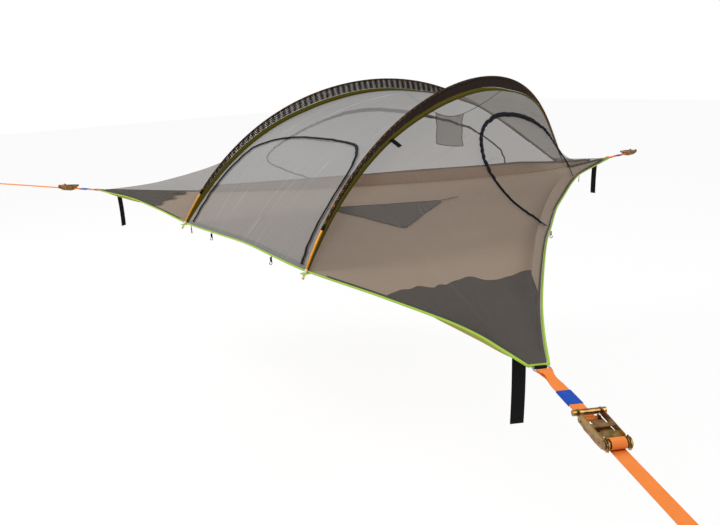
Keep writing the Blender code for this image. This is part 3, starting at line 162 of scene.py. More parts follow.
def spread(count, first=0.0, last=1.0):
    """count even steps from first to last, both ends with them."""
    return [first + (last - first) * k / count for k in range(count + 1)]


def circle(count):
    return [2 * pi * k / count for k in range(count)]


def arc(centre, radius, start, end, count):
    return [(centre[0] + radius * cos(turn), centre[1] + radius * sin(turn)) for turn in spread(count, start, end)]


def soft(x, y, z):
    return noise.noise(Vector((x, y, z)))


def unit(vectors):
    return vectors / np.linalg.norm(vectors, axis=-1, keepdims=True)


def directions(points):
    return unit(np.gradient(np.asarray(points, float), axis=0))


def across_line(points, ups):
    return unit(np.cross(ups, directions(points)))


def run_along(rows):
    """How far each point lies along its own line, from the line's start."""
    steps = np.linalg.norm(np.diff(rows, axis=-2), axis=-1)
    return np.concatenate([np.zeros((*steps.shape[:-1], 1)), np.cumsum(steps, axis=-1)], axis=-1)


def reach_along(rows):
    """How far each point lies along its own row, from the row's middle."""
    far = run_along(rows)
    return far - far[:, -1:] / 2


def mirrored(points, side):
    """Points of the right side as they are, or of the left side."""
    return np.asarray(points, float) * [-1 if side == "left" else 1, 1, 1]


def frame_at(place, ways):
    return Matrix.Translation(place) @ Matrix(ways).transposed().to_4x4()


def in_frame(place, points):
    return [np.array(place @ Vector(p)) for p in points]


# Plan, edge, poles and seams

def outward(corner):
    return np.array([cos(CORNER_ANGLES[corner]), sin(CORNER_ANGLES[corner]), 0])


def sideways(corner):
    return np.array([-sin(CORNER_ANGLES[corner]), cos(CORNER_ANGLES[corner]), 0])


def floor_height(x, y):
    rise = (x * x + y * y - FLOOR_FLAT_RADIUS**2) / (CORNER_RADIUS**2 - FLOOR_FLAT_RADIUS**2)
    return -FLOOR_SAG * (1 - max(rise, 0) ** FLOOR_BOWL_POWER)


def edge_point(side, share, out=0.0, lift=0.0):
    """A point on the tent's edge. side is front (A to C), right (C to B) or left (A to B)."""
    ends = {"front": (("a", 1), ("c", -1)), "right": (("c", 1), ("b", -1)), "left": (("a", -1), ("b", 1))}[side]
    first, last = (outward(c) * CORNER_RADIUS + sideways(c) * CORNER_END_WIDTH / 2 * sign for c, sign in ends)
    inward = -unit(first + last)
    bow, shares = (FRONT_EDGE_BOW, FRONT_BOW_SHARES) if side == "front" else (SIDE_EDGE_BOW, SIDE_BOW_SHARES)
    place = first + (last - first) * share + inward * (bow * smooth_read(shares, share) - out)
    place[2] = floor_height(place[0], place[1]) + lift
    return place


def rim_point(side, share):
    """Where the canopy meets the edge."""
    return edge_point(side, share, lift=CANOPY_LIFT)


def pole_controls():
    foot = edge_point("front", FOOT_SHARE, POLE_FOOT_STANDOFF)
    spreads = [s * POLE_FOOT_SPREAD for s in POLE_SPREAD_SHARES] + [POLE_REAR[0]]
    runs = [foot[1] + s * (POLE_REAR[1] - foot[1]) for s in POLE_RUN_SHARES] + [POLE_REAR[1]]
    heights = [foot[2] - POLE_TIP_DROP] + [s * POLE_CROWN_HEIGHT for s in POLE_HEIGHT_SHARES] + [POLE_REAR[2]]
    return np.array([spreads, runs, heights]).T


POLE_CONTROLS = pole_controls()


def pole_point(share):
    points = POLE_CONTROLS
    while len(points) > 1:
        points = points[:-1] * (1 - share) + points[1:] * share
    return points[0]


def pole_axes(share):
    """Up out of the arch, and across the fin."""
    step = 1 / 400
    along = unit(pole_point(min(share + step, 1)) - pole_point(max(share - step, 0)))
    across = unit(np.cross(pole_point(1) - pole_point(0), pole_point(0.5) - pole_point(0)))
    return unit(np.cross(across, along)), across


def lace_reach(share):
    """How far the open-work reaches below the pole's middle, down to the canopy's seam."""
    swell = max(sin(pi * min(max(share, 0), 1)), 0) ** FIN_SWELL_POWER
    depth = FIN_END_DEPTH + (FIN_DEPTH - FIN_END_DEPTH) * swell
    return max(depth * read(LACE_DEPTH_SHARES, share), POLE_RADIUS + 0.004)


def binding_height(share):
    return min(read(BINDING_HEIGHTS, share), lace_reach(share) * 0.5)


def seam_point(share):
    foot = rim_point("front", FOOT_SHARE)
    if share <= 0:
        return foot
    hung = pole_point(share) - pole_axes(share)[0] * lace_reach(share)
    start = min(share / SEAM_START_SHARE, 1)
    return hung * start + foot * (1 - start)


def strap_frame(corner, along=0.0, lift=0.0):
    """X runs out along the strap, Y across, Z up."""
    away, across = Vector(outward(corner)), Vector(sideways(corner))
    way = away * cos(STRAP_RISE) + Vector((0, 0, sin(STRAP_RISE)))
    up = way.cross(across)
    return frame_at(away * CORNER_RADIUS + way * along + up * lift, (way, across, up))


# The canopy net, pulled between the edge and the two pole seams

def net_row(r):
    """(share along the pole, point on the edge) of the row at r, counted in the frame's rows."""
    if r <= FRONT_ROWS:
        part = r / FRONT_ROWS
        return part * CORNER_ROW_SHARE, rim_point("front", FOOT_SHARE + (1 - FOOT_SHARE) * part)
    step = (1 - CORNER_ROW_SHARE) / (SIDE_ROWS + 1)
    if r < FRONT_ROWS + 1:
        part = r - FRONT_ROWS
        return CORNER_ROW_SHARE + step * part, rim_point("front", 1) * (1 - part) + rim_point("right", 0) * part
    part = (r - FRONT_ROWS - 1) / SIDE_ROWS
    share = CORNER_ROW_SHARE + step + (1 - CORNER_ROW_SHARE - step) * part
    return share, rim_point("right", TAIL_ROW_SHARE * part)


def canopy_net():
    tail = TAIL_ROWS * ROW_STEPS
    net = np.zeros((POLE_END_ROW + 1 + tail, LAST_COLUMN + 1, 3))
    fixed = np.zeros(net.shape[:2], bool)
    left, right = ROOF_SPAN
    for i in range(POLE_END_ROW + 1):
        share, rim = net_row(i / ROW_STEPS)
        seam = seam_point(share)
        for j in range(SIDE_COLUMNS + 1):
            net[i, right + j] = seam + (rim - seam) * j / SIDE_COLUMNS
            net[i, left - j] = mirrored(net[i, right + j], "left")
        for j in range(1, ROOF_COLUMNS):
            net[i, left + j] = net[i, left] + (net[i, right] - net[i, left]) * j / ROOF_COLUMNS
        fixed[i, [0, left, right, LAST_COLUMN]] = True
    fixed[POLE_END_ROW, left:right + 1] = True
    for j, share in enumerate(spread(ROOF_COLUMNS, 1 - FOOT_SHARE, FOOT_SHARE)):
        net[0, left + j] = rim_point("front", share)
    fixed[0] = True
    for i, part in enumerate(spread(tail)[1:], POLE_END_ROW + 1):
        rim = rim_point("right", TAIL_ROW_SHARE + (1 - TAIL_ROW_SHARE) * part)
        for j, middle in enumerate(spread(LAST_COLUMN, -1, 1)):
            net[i, j] = net[POLE_END_ROW, j] * (1 - part) + rim * [middle, 1, 1] * part
        net[i, 0], net[i, -1] = mirrored(rim, "left"), rim
        fixed[i, [0, -1]] = True
    fixed[-1] = True
    return pulled(net, fixed)


def pulled(net, fixed):
    """Every free point settles at the weighted mean of its neighbours, as an evenly pulled net does."""
    across = fixed.shape[1]
    free = np.flatnonzero(~fixed.ravel())
    order = -np.ones(fixed.size, int)
    order[free] = np.arange(len(free))
    flat = net.reshape(-1, 3)
    matrix = np.zeros((len(free), len(free)))
    known = np.zeros((len(free), 3))
    for row, cell in enumerate(free):
        for step, weight in ((across, ROW_STEPS**2), (1, COLUMN_STEPS**2)):
            for other in (cell - step, cell + step):
                matrix[row, row] += weight
                if order[other] < 0:
                    known[row] += weight * flat[other]
                else:
                    matrix[row, order[other]] -= weight
    flat[free] = np.linalg.solve(matrix, known)
    return flat.reshape(net.shape)


NET = canopy_net()


def on_net(i, j):
    """A point on the net at a row and column that needn't be whole."""
    a, b = min(int(i), NET.shape[0] - 2), min(int(j), NET.shape[1] - 2)
    u, v = i - a, j - b
    near, far = (NET[row, b] * (1 - v) + NET[row, b + 1] * v for row in (a, a + 1))
    return near * (1 - u) + far * u


def net_normal(i, j, columns):
    """Outward normal of a panel of the net."""
    a, b = np.clip([i - 0.5, i + 0.5], 0, POLE_END_ROW)
    c, d = np.clip([j - 0.5, j + 0.5], *columns)
    normal = unit(np.cross(on_net(i, d) - on_net(i, c), on_net(b, j) - on_net(a, j)))
    inside = np.array([0, 0.2, -0.3])
    return normal if normal @ (on_net(i, j) - inside) > 0 else -normal


# Building blocks

WELD_DISTANCE = 0.00001


def new_object(name, data):
    item = bpy.data.objects.new(name, data)
    bpy.context.scene.collection.objects.link(item)
    return item


def dress(item, material, slot, *nodes, body="tent"):
    """Gives a piece its material and the body it rides, and hides the nodes it replaces. slot is not used."""
    item.data.materials.append(material)
    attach(item, body)
    if nodes:
        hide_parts(*nodes)
    return item


def add_map(mesh, name, places):
    layer = mesh.uv_layers.new(name=name)
    for loop in mesh.loops:
        layer.data[loop.index].uv = places[loop.vertex_index]


def mesh_object(name, points, faces):
    mesh = bpy.data.meshes.new(name)
    mesh.from_pydata([tuple(p) for p in points], [], faces)
    mesh.shade_smooth()
    return new_object(name, mesh)


def changed_mesh(mesh, change):
    body = bmesh.new()
    body.from_mesh(mesh)
    change(body)
    body.to_mesh(mesh)
    body.free()


def weld(body):
    bmesh.ops.remove_doubles(body, verts=body.verts, dist=WELD_DISTANCE)
    bmesh.ops.dissolve_degenerate(body, edges=body.edges, dist=WELD_DISTANCE)


def quads(count, width, rows_close, columns_close):
    faces = []
    for i in range(count if rows_close else count - 1):
        n = (i + 1) % count
        for j in range(width if columns_close else width - 1):
            k = (j + 1) % width
            faces.append((i * width + j, i * width + k, n * width + k, n * width + j))
    return faces


def grid_object(name, rows, wrap=False):
    """A sheet through rows of points, with its cloth coordinates in metres."""
    rows = np.asarray(rows, float)
    places = np.stack([reach_along(rows), reach_along(rows.transpose(1, 0, 2)).T], axis=2)
    item = mesh_object(name, rows.reshape(-1, 3), quads(*rows.shape[:2], False, wrap))
    add_map(item.data, "Cloth", places.reshape(-1, 2))
    return item


def loft_object(name, sections, closed=False):
    """A closed body through sections of as many points each. closed joins the last section to the first."""
    sections = np.asarray(sections, float)
    count, width = sections.shape[:2]
    faces = quads(count, width, closed, True)
    if not closed:
        faces += [tuple(reversed(range(width))), tuple(range((count - 1) * width, count * width))]
    far = np.repeat(run_along(sections.mean(axis=1))[:, None], width, axis=1)
    item = mesh_object(name, sections.reshape(-1, 3), faces)
    add_map(item.data, "Cloth", np.stack([run_along(sections), far], axis=2).reshape(-1, 2))
    changed_mesh(item.data, lambda body: bmesh.ops.recalc_face_normals(body, faces=body.faces))
    return item


def tube_object(name, points, radius, sides, closed=False):
    """A round body along a line, its sections turned as little as can be from one to the next."""
    points = np.asarray(points, float)
    ways = directions(points)
    guide = np.array([0, 0, 1]) if abs(ways[0][2]) < 0.9 else np.array([1, 0, 0])
    sections = []
    for point, way, wide in zip(points, ways, np.broadcast_to(radius, len(points))):
        guide = unit(guide - way * (guide @ way))
        other = np.cross(way, guide)
        sections.append([point + wide * (guide * cos(t) + other * sin(t)) for t in circle(sides)])
    return loft_object(name, sections, closed)


def ribbon_object(name, points, ups, acrosses, width, thickness, closed=False):
    """A woven strap: flat, with round edges."""
    thick = thickness / 2
    flat = width / 2 - thick
    shape = [(-flat, -thick)] + [(x * flat, -thick) for x in (-0.5, 0, 0.5)]
    shape += arc((flat, 0), thick, -pi / 2, pi / 2, 4) + [(x * flat, thick) for x in (0.5, 0, -0.5)]
    shape += arc((-flat, 0), thick, pi / 2, 3 * pi / 2, 4)[:-1]
    sections = [[point + across * x + up * z for x, z in shape] for point, up, across in zip(points, ups, acrosses)]
    return loft_object(name, sections, closed)


def strap_object(name, place, path, width, thickness=WEBBING_THICKNESS, closed=False):
    """A strap whose middle line is a list of (x, z) points in the frame's X and Z, with Y across it."""
    path = np.asarray(path, float)
    ways = unit(np.roll(path, -1, axis=0) - np.roll(path, 1, axis=0)) if closed else directions(path)
    turn = place.to_3x3()
    ups = [np.array(turn @ Vector((-z, 0, x))) for x, z in ways]
    acrosses = [np.array(turn @ Vector((0, 1, 0)))] * len(path)
    points = in_frame(place, [(x, 0, z) for x, z in path])
    return ribbon_object(name, points, ups, acrosses, width, thickness, closed)


def box_ring(low, way, across, height, half):
    top = low + way * height
    return [low - across * half, low + across * half, top + across * half * 0.7, top - across * half * 0.7]


def reshape(item, place, change):
    """Moves each vertex as change says, in the axes of a place."""
    inverse = place.inverted()
    for vertex in item.data.vertices:
        local = inverse @ vertex.co
        change(local)
        vertex.co = place @ local


def declared_sheet(item, rows, held, *rests_on):
    """Measures the flat length that a sheet's rows span, and keeps nothing of it."""
    rows = np.asarray(rows, float)
    length = float(max(reach_along(rows.transpose(1, 0, 2))[:, -1]) * 2)


# Materials

CLOTH_GLOSS = 0.15
WEAVE_PITCH = 0.0012
LACE_PERIOD = 0.0127
PLEAT_START = (-0.161, 0.359)
# Painted light and shade stripes on the hatch flap: angle, half width and strength, a painted highlight where strength
# is positive and painted shade where it is negative.
FLAP_PAINTED_LIGHT_STRIPES = ((-37.6, 1.7, 0.5), (-32.2, 1.5, 0.45), (-41.2, 1.3, -0.35), (-34.9, 1.2, -0.4), (-29.9, 1.2, -0.35))


def base_material(name):
    item = bpy.data.materials.new(name)
    item.use_nodes = True
    return item, item.node_tree, item.node_tree.nodes["Principled BSDF"]


def feed(tree, node, inputs):
    """Links sockets to a node's inputs, and sets plain values on them."""
    for key, value in inputs.items():
        if isinstance(value, bpy.types.NodeSocket):
            tree.links.new(value, node.inputs[key])
        else:
            node.inputs[key].default_value = value


def add(tree, kind, inputs, **settings):
    node = tree.nodes.new(kind)
    for key, value in settings.items():
        setattr(node, key, value)
    feed(tree, node, inputs)
    return node.outputs


def math(tree, operation, first, second=0.0, third=0.5):
    return add(tree, "ShaderNodeMath", {0: first, 1: second, 2: third}, operation=operation)[0]


def blend(tree, share, first, second):
    """First colour at 0, second at 1."""
    return add(tree, "ShaderNodeMix", {0: share, 6: first, 7: second}, data_type="RGBA")[2]


def ramped(tree, value, low, high, first=0.0, last=1.0):
    inputs = {"Value": value, "From Min": low, "From Max": high, "To Min": first, "To Max": last}
    return add(tree, "ShaderNodeMapRange", inputs)[0]


def bump(tree, height, depth, strength, **below):
    return add(tree, "ShaderNodeBump", {"Height": height, "Distance": depth, "Strength": strength, **below})[0]


def map_place(tree, name):
    """U across and V along the cloth, in metres, or what another map holds."""
    return add(tree, "ShaderNodeSeparateXYZ", {0: add(tree, "ShaderNodeUVMap", {}, uv_map=name)[0]})


def object_place(tree):
    return add(tree, "ShaderNodeTexCoord", {})["Object"]


def speckle(tree, place, scale, detail, distortion=0.0, **settings):
    inputs = {"Vector": place, "Scale": scale, "Detail": detail, "Distortion": distortion}
    return add(tree, "ShaderNodeTexNoise", inputs, **settings)["Fac"]


def threads(tree, place, pitch):
    """A wave from 0 to 1 over each thread."""
    turned = math(tree, "SINE", math(tree, "MULTIPLY", place, 2 * pi / pitch))
    return math(tree, "MULTIPLY_ADD", turned, 0.5)


def scaled(colour, factor):
    return (*(min(c * factor, 1) for c in colour[:3]), 1)


def mottled(tree, colour, amount, scale):
    """The colour with soft variation."""
    spot = speckle(tree, object_place(tree), scale, 4.0, noise_dimensions="4D")
    return blend(tree, spot, scaled(colour, 1 - amount), scaled(colour, 1 + amount))


def crease_sheen_lines(tree, u, v, across, along):
    """Thin lines where the cloth is pulled, across and along times per metre. Callers paint the cloth lighter along
    them, as a painted sheen highlight.
    """
    inputs = {0: math(tree, "MULTIPLY", u, across), 1: math(tree, "MULTIPLY", v, along)}
    spot = add(tree, "ShaderNodeCombineXYZ", inputs)[0]
    ridge = math(tree, "ABSOLUTE", math(tree, "SUBTRACT", speckle(tree, spot, 1.0, 0.5, 0.15), 0.5))
    kept = ramped(tree, speckle(tree, spot, 0.45, 0.0), 0.46, 0.62)
    return math(tree, "MULTIPLY", ramped(tree, ridge, 0.0, 0.016, 1.0, 0.0), kept)


def weave_height(tree, u, v, pitch):
    """Plain weave: threads over and under each other."""
    return math(tree, "MULTIPLY", threads(tree, u, pitch), threads(tree, v, pitch))


def cloth_material(name, roughness=0.9):
    """A dull cloth's material, tree and shader, and its U and V."""
    item, tree, shader = base_material(name)
    feed(tree, shader, {"Roughness": roughness, "Specular IOR Level": CLOTH_GLOSS})
    place = map_place(tree, "Cloth")
    return item, tree, shader, place[0], place[1]


def woven(name, colour, pitch=WEAVE_PITCH, depth=0.0002, roughness=0.88, amount=0.1, scale=6.0, lines=None,
          painted=None):
    """Plain cloth. lines gives how many pinched lines per metre run across and along it; the cloth is painted lighter
    along those lines as a painted highlight, over a real bump.
    """
    item, tree, shader, u, v = cloth_material(name, roughness)
    tone = mottled(tree, colour, amount, scale)
    normal = bump(tree, weave_height(tree, u, v, pitch), depth, 0.7)
    if lines:
        line = crease_sheen_lines(tree, u, v, *lines)
        # Painted highlight along the crease lines.
        tone = blend(tree, math(tree, "MULTIPLY", line, 0.35), tone, scaled(colour, 2.2))
        normal = bump(tree, line, 0.002, 0.6, Normal=normal)
    if painted:
        tone = painted(tree, tone, colour)
    feed(tree, shader, {"Normal": normal, "Base Color": tone})
    return item


def painted_fold_light_and_shade(tree, tone, colour):
    """Painted highlights and painted shade on the flap's folds, fanned out from one spot on its far edge."""
    place = add(tree, "ShaderNodeSeparateXYZ", {0: object_place(tree)})
    x, y = (math(tree, "SUBTRACT", place[axis], PLEAT_START[axis]) for axis in (0, 1))
    turn = math(tree, "MULTIPLY", math(tree, "ARCTAN2", y, x), 180 / pi)
    for middle, half, strength in FLAP_PAINTED_LIGHT_STRIPES:
        away = math(tree, "ABSOLUTE", math(tree, "SUBTRACT", turn, middle))
        part = math(tree, "MULTIPLY", ramped(tree, away, 0.0, half, 1.0, 0.0), abs(strength))
        tone = blend(tree, part, tone, scaled(colour, 2.6) if strength > 0 else (0, 0, 0, 1))
    return tone


def netting(name, colour, cover, lines, crown=False):
    """Fine net that covers a share of what lies behind it. Its pulled lines are denser, and painted lighter as a
    painted sheen highlight.
    """
    item, tree, shader, u, v = cloth_material(name)
    line = crease_sheen_lines(tree, u, v, *lines)
    tone = mottled(tree, colour, 0.1, 2.5)
    if crown:
        height = add(tree, "ShaderNodeSeparateXYZ", {0: object_place(tree)})[2]
        tone = blend(tree, ramped(tree, height, 0.35, 0.66, 1.0, 0.74), (0, 0, 0, 1), tone)
    holes = math(tree, "MULTIPLY_ADD", weave_height(tree, u, v, 0.0024), 0.24, cover - 0.06)
    feed(tree, shader, {
        "Base Color": blend(tree, math(tree, "MULTIPLY", line, 0.5), tone, scaled(colour, 1.7)),
        "Alpha": math(tree, "MULTIPLY_ADD", line, 0.12, holes),
    })
    return item


def webbing(name, colour, amount):
    """Ribbed strap: fine ribs across it, and warp threads along it."""
    item, tree, shader, u, v = cloth_material(name, 0.8)
    ribs = math(tree, "MULTIPLY", threads(tree, v, 0.0022), 0.7)
    height = math(tree, "MULTIPLY_ADD", threads(tree, u, 0.0016), 0.3, ribs)
    feed(tree, shader, {"Normal": bump(tree, height, 0.0004, 0.8), "Base Color": mottled(tree, colour, amount, 30.0)})
    return item


def lace(name, colour, far_painted_light_colour, rear_colour):
    """Open-work sleeve: a lattice with holes. The Sleeve map's Y holds the share of the pole."""
    item, tree, shader, u, v = cloth_material(name)
    share = map_place(tree, "Sleeve")[1]
    slants = [math(tree, "DIVIDE", math(tree, way, v, u), LACE_PERIOD) for way in ("ADD", "SUBTRACT")]
    spot = add(tree, "ShaderNodeCombineXYZ", {0: slants[0], 1: slants[1]})[0]
    cells = add(tree, "ShaderNodeTexVoronoi", {"Vector": spot, "Scale": 1.0, "Randomness": 0.0},
                voronoi_dimensions="2D")["Distance"]
    hole = math(tree, "MULTIPLY_ADD", threads(tree, v, 0.042), 0.17, 0.11)
    alpha = math(tree, "GREATER_THAN", cells, hole)
    tone = mottled(tree, colour, 0.25, 20.0)
    # Past about seven tenths of the pole, one leaf of the sleeve is painted nearly white and nearly closed: painted
    # light on the dark lace.
    far = math(tree, "MULTIPLY", ramped(tree, share, 0.68, 0.74), math(tree, "LESS_THAN", u, 0.0))
    rear = ramped(tree, share, 0.84, 0.9)
    for part, cover, other_colour in ((far, 0.97, far_painted_light_colour), (rear, 0.9, rear_colour)):
        kept = math(tree, "MULTIPLY", alpha, math(tree, "SUBTRACT", 1.0, part))
        alpha = math(tree, "MULTIPLY_ADD", part, cover, kept)
        tone = blend(tree, part, tone, other_colour)
    feed(tree, shader, {"Alpha": alpha, "Base Color": tone, "Normal": bump(tree, cells, 0.0006, 0.6)})
    return item


def hard_material(name, tone, grain, depth, strength, rough, metallic=0.0, gloss=0.5):
    """Metal or plastic. tone makes its colour, and grain is the scale and detail of its fine spots."""
    item, tree, shader = base_material(name)
    spots = speckle(tree, object_place(tree), *grain)
    feed(tree, shader, {
        "Base Color": tone(tree), "Metallic": metallic, "Specular IOR Level": gloss,
        "Roughness": ramped(tree, spots, 0.0, 1.0, *rough), "Normal": bump(tree, spots, depth, strength),
    })
    return item


def metal(name, colour, roughness, amount=0.12, metallic=1.0):
    rough = (roughness * 0.8, roughness * 1.3)
    return hard_material(name, lambda tree: mottled(tree, colour, amount, 40.0), (90.0, 5.0), 0.00015, 0.3, rough,
                         metallic)


def zinc_patches(tree):
    """The iridescent patches of yellow zinc plate, from gold to pink and green."""
    node = tree.nodes.new("ShaderNodeValToRGB")
    feed(tree, node, {0: speckle(tree, object_place(tree), 28.0, 3.0, 0.6)})
    stops = ((0.3, (120, 96, 50)), (0.45, (168, 136, 76)), (0.56, (146, 104, 70)), (0.7, (112, 108, 60)))
    for k, (where, colour) in enumerate(stops):
        stop = node.color_ramp.elements[k] if k < 2 else node.color_ramp.elements.new(where)
        stop.position, stop.color = where, srgb(*colour)
    return node.outputs[0]


def plastic(name, colour, roughness=0.5):
    rough = (roughness, roughness)
    return hard_material(name, lambda tree: mottled(tree, colour, 0.15, 60.0), (600.0, 2.0), 0.0001, 0.3, rough,
                         gloss=0.3)


# The side, tail and roof nets are one net in lit and shaded copies: the roof net's lighter colour is painted light, and
# the side net's darker colour is painted shade.
SIDE_NET_PAINTED_SHADE = netting("side_net_cloth_painted_shade", srgb(104, 97, 90), 0.46, (0.5, 16.0))
ROOF_NET_PAINTED_LIT = netting("roof_net_cloth_painted_lit", srgb(140, 138, 136), 0.74, (19.0, 0.55), crown=True)
POCKET_CLOTH = netting("pocket_net_cloth", srgb(104, 102, 98), 0.55, (6.0, 12.0))
# The floor cloth is its own tan, made lighter to make up for the shadow that the nets cast on it: that extra lightness
# is painted light.
FLOOR_CLOTH_PAINTED_LIGHTER = woven("floor_cloth", srgb(213, 189, 167), pitch=0.0016, depth=0.0003, amount=0.07, scale=3.0)
HEM_CLOTH = woven("hem_cloth", srgb(168, 152, 78), pitch=0.0016, amount=0.12, scale=12.0)
# The dark cloth's crease lines carry a painted highlight.
DARK_CLOTH = woven("dark_cloth", srgb(52, 52, 55), scale=7.0, lines=(5.0, 7.0))
HATCH_CLOTH_PAINTED_FOLDS = woven("hatch_cloth", srgb(94, 95, 98), scale=7.0, painted=painted_fold_light_and_shade)
BINDING_CLOTH = woven("binding_cloth", srgb(82, 75, 10), pitch=0.0018, depth=0.0004, amount=0.2, scale=14.0)
LIME_TAPE = woven("lime_tape", srgb(160, 194, 72), pitch=0.0016, depth=0.0003, amount=0.08, scale=25.0)
BLACK_WEBBING = webbing("black_webbing", srgb(14, 13, 13), 0.25)
ORANGE_WEBBING = webbing("orange_webbing", (0.8, 0.225, 0.045, 1), 0.07)
THREAD = webbing("orange_thread", srgb(186, 84, 30), 0.1)
BLUE_LABEL = woven("blue_label", srgb(26, 76, 172), pitch=0.0008, amount=0.08, scale=30.0, roughness=0.7)
ZIP_TAPE = woven("zip_tape", srgb(17, 17, 26), pitch=0.001, amount=0.15, scale=20.0)
ZIP_COIL = plastic("zip_coil", srgb(15, 15, 20), 0.45)
GREY_TAPE = woven("grey_tape", srgb(92, 86, 82), pitch=0.0014, scale=20.0)
SLEEVE_LACE = lace("sleeve_lace", srgb(44, 34, 28), srgb(242, 238, 222), srgb(120, 117, 112))
POLE_GOLD = metal("pole_gold", srgb(224, 150, 46), 0.36, amount=0.08, metallic=0.75)
ZINC = hard_material("yellow_zinc_plate", zinc_patches, (220.0, 4.0), 0.0001, 0.25, (0.2, 0.4), 0.95)
RING_STEEL = metal("ring_steel", srgb(190, 190, 188), 0.28)
TRIM_PLASTIC = plastic("trim_plastic", srgb(18, 18, 19))
PALE_CAP = plastic("pale_cap", srgb(222, 214, 186))


# Camera, lights, floor and backdrop

WORLD_LIGHT = 0.62
LAMP_AIM = (0, 0.2, 0.2)
LAMPS = (((-3.5, -4.5, 5.5), 4.0, 330), ((5.5, 0.5, 4.5), 3.5, 160))
GROUND_LEVEL = -1.35
GROUND_HALF = 30
GROUND_WHITE_SHARE = 0.85
GROUND_GLOW = 1.03
WHITE = (1, 1, 1, 1)


def build_camera():
    data = bpy.data.cameras.new("camera")
    data.sensor_width = SENSOR
    data.lens = FOCAL_PIXELS / PICTURE_WIDTH * SENSOR
    data.clip_start = 0.05
    item = new_object("camera", data)
    item.matrix_world = Matrix.Translation(CAMERA_PLACE)
    for angle, axis in ((CAMERA_YAW - pi / 2, "Z"), (pi / 2 - CAMERA_PITCH, "X"), (CAMERA_ROLL, "Z")):
        item.matrix_world = item.matrix_world @ Matrix.Rotation(angle, 4, axis)
    bpy.context.scene.camera = item


def seen_directly(tree):
    """1 where the camera looks, also through clear things."""
    path = add(tree, "ShaderNodeLightPath", {})
    return math(tree, "MAXIMUM", path["Is Camera Ray"], path["Is Transmission Ray"])


def mixed(tree, share, first, second, end):
    """Mixes two shaders into the tree's end node."""
    feed(tree, tree.nodes[end], {0: add(tree, "ShaderNodeMixShader", {0: share, 1: first, 2: second})[0]})


def build_world():
    world = bpy.data.worlds.new("studio")
    world.use_nodes = True
    tree = world.node_tree
    light = tree.nodes["Background"]
    feed(tree, light, {"Color": WHITE, "Strength": WORLD_LIGHT})
    white = add(tree, "ShaderNodeBackground", {"Color": WHITE, "Strength": 1.0})
    mixed(tree, seen_directly(tree), light.outputs[0], white[0], "World Output")
    bpy.context.scene.world = world


def build_lamps():
    for place, size, power in LAMPS:
        data = bpy.data.lights.new("softbox", "AREA")
        data.shape = "DISK"
        data.size = size
        data.energy = power
        item = new_object("softbox", data)
        item.location = place
        item.rotation_euler = (Vector(LAMP_AIM) - Vector(place)).to_track_quat("-Z", "Y").to_euler()


def build_ground():
    corners = [(x * GROUND_HALF, y * GROUND_HALF, GROUND_LEVEL) for x, y in ((-1, -1), (1, -1), (1, 1), (-1, 1))]
    item = mesh_object("ground", corners, [(0, 1, 2, 3)])
    material, tree, shader = base_material("ground")
    feed(tree, shader, {"Base Color": (0.9, 0.9, 0.9, 1), "Roughness": 0.9})
    glow = add(tree, "ShaderNodeEmission", {"Color": WHITE, "Strength": GROUND_GLOW})
    share = math(tree, "MULTIPLY", seen_directly(tree), GROUND_WHITE_SHARE)
    mixed(tree, share, shader.outputs[0], glow[0], "Material Output")
    item.data.materials.append(material)


# Long straps to the trees, from their route along the strap's own X

STRAP_REACH = {"a": 1.29, "c": 0.82}
STRAP_TURNS = 1.35
STRAP_TURN_PITCH = 0.0025
DRUM_RADIUS = 0.009
DRUM_GAP = 0.0003
EYE_LENGTH = 0.09
EYE_OPENING = 0.022
EYE_SEWN_LENGTH = 0.05
FIRST_TURN_RADIUS = DRUM_RADIUS + DRUM_GAP + WEBBING_THICKNESS / 2
STRAP_LEVEL = -(FIRST_TURN_RADIUS + STRAP_TURN_PITCH * STRAP_TURNS)
THREAD_WIDTH = 0.0009


def stitches(name, place, low, high, level):
    """A sewn box with a cross, as thread laid on a strap. low and high are (x, y) corners."""
    (x0, y0), (x1, y1) = low, high
    turns = np.array([(x0, y0), (x1, y0), (x1, y1), (x0, y1), (x0, y0), (x1, y1), (x1, y0), (x0, y1)])
    line = [a + (b - a) * k / 10 for a, b in zip(turns[:-1], turns[1:]) for k in range(10)] + [turns[-1]]
    points = [(x, y, level + THREAD_WIDTH * (0.25 if k % 2 else -0.35)) for k, (x, y) in enumerate(line)]
    return dress(tube_object(name, in_frame(place, points), THREAD_WIDTH / 2, 6), THREAD, "orange_webbing")


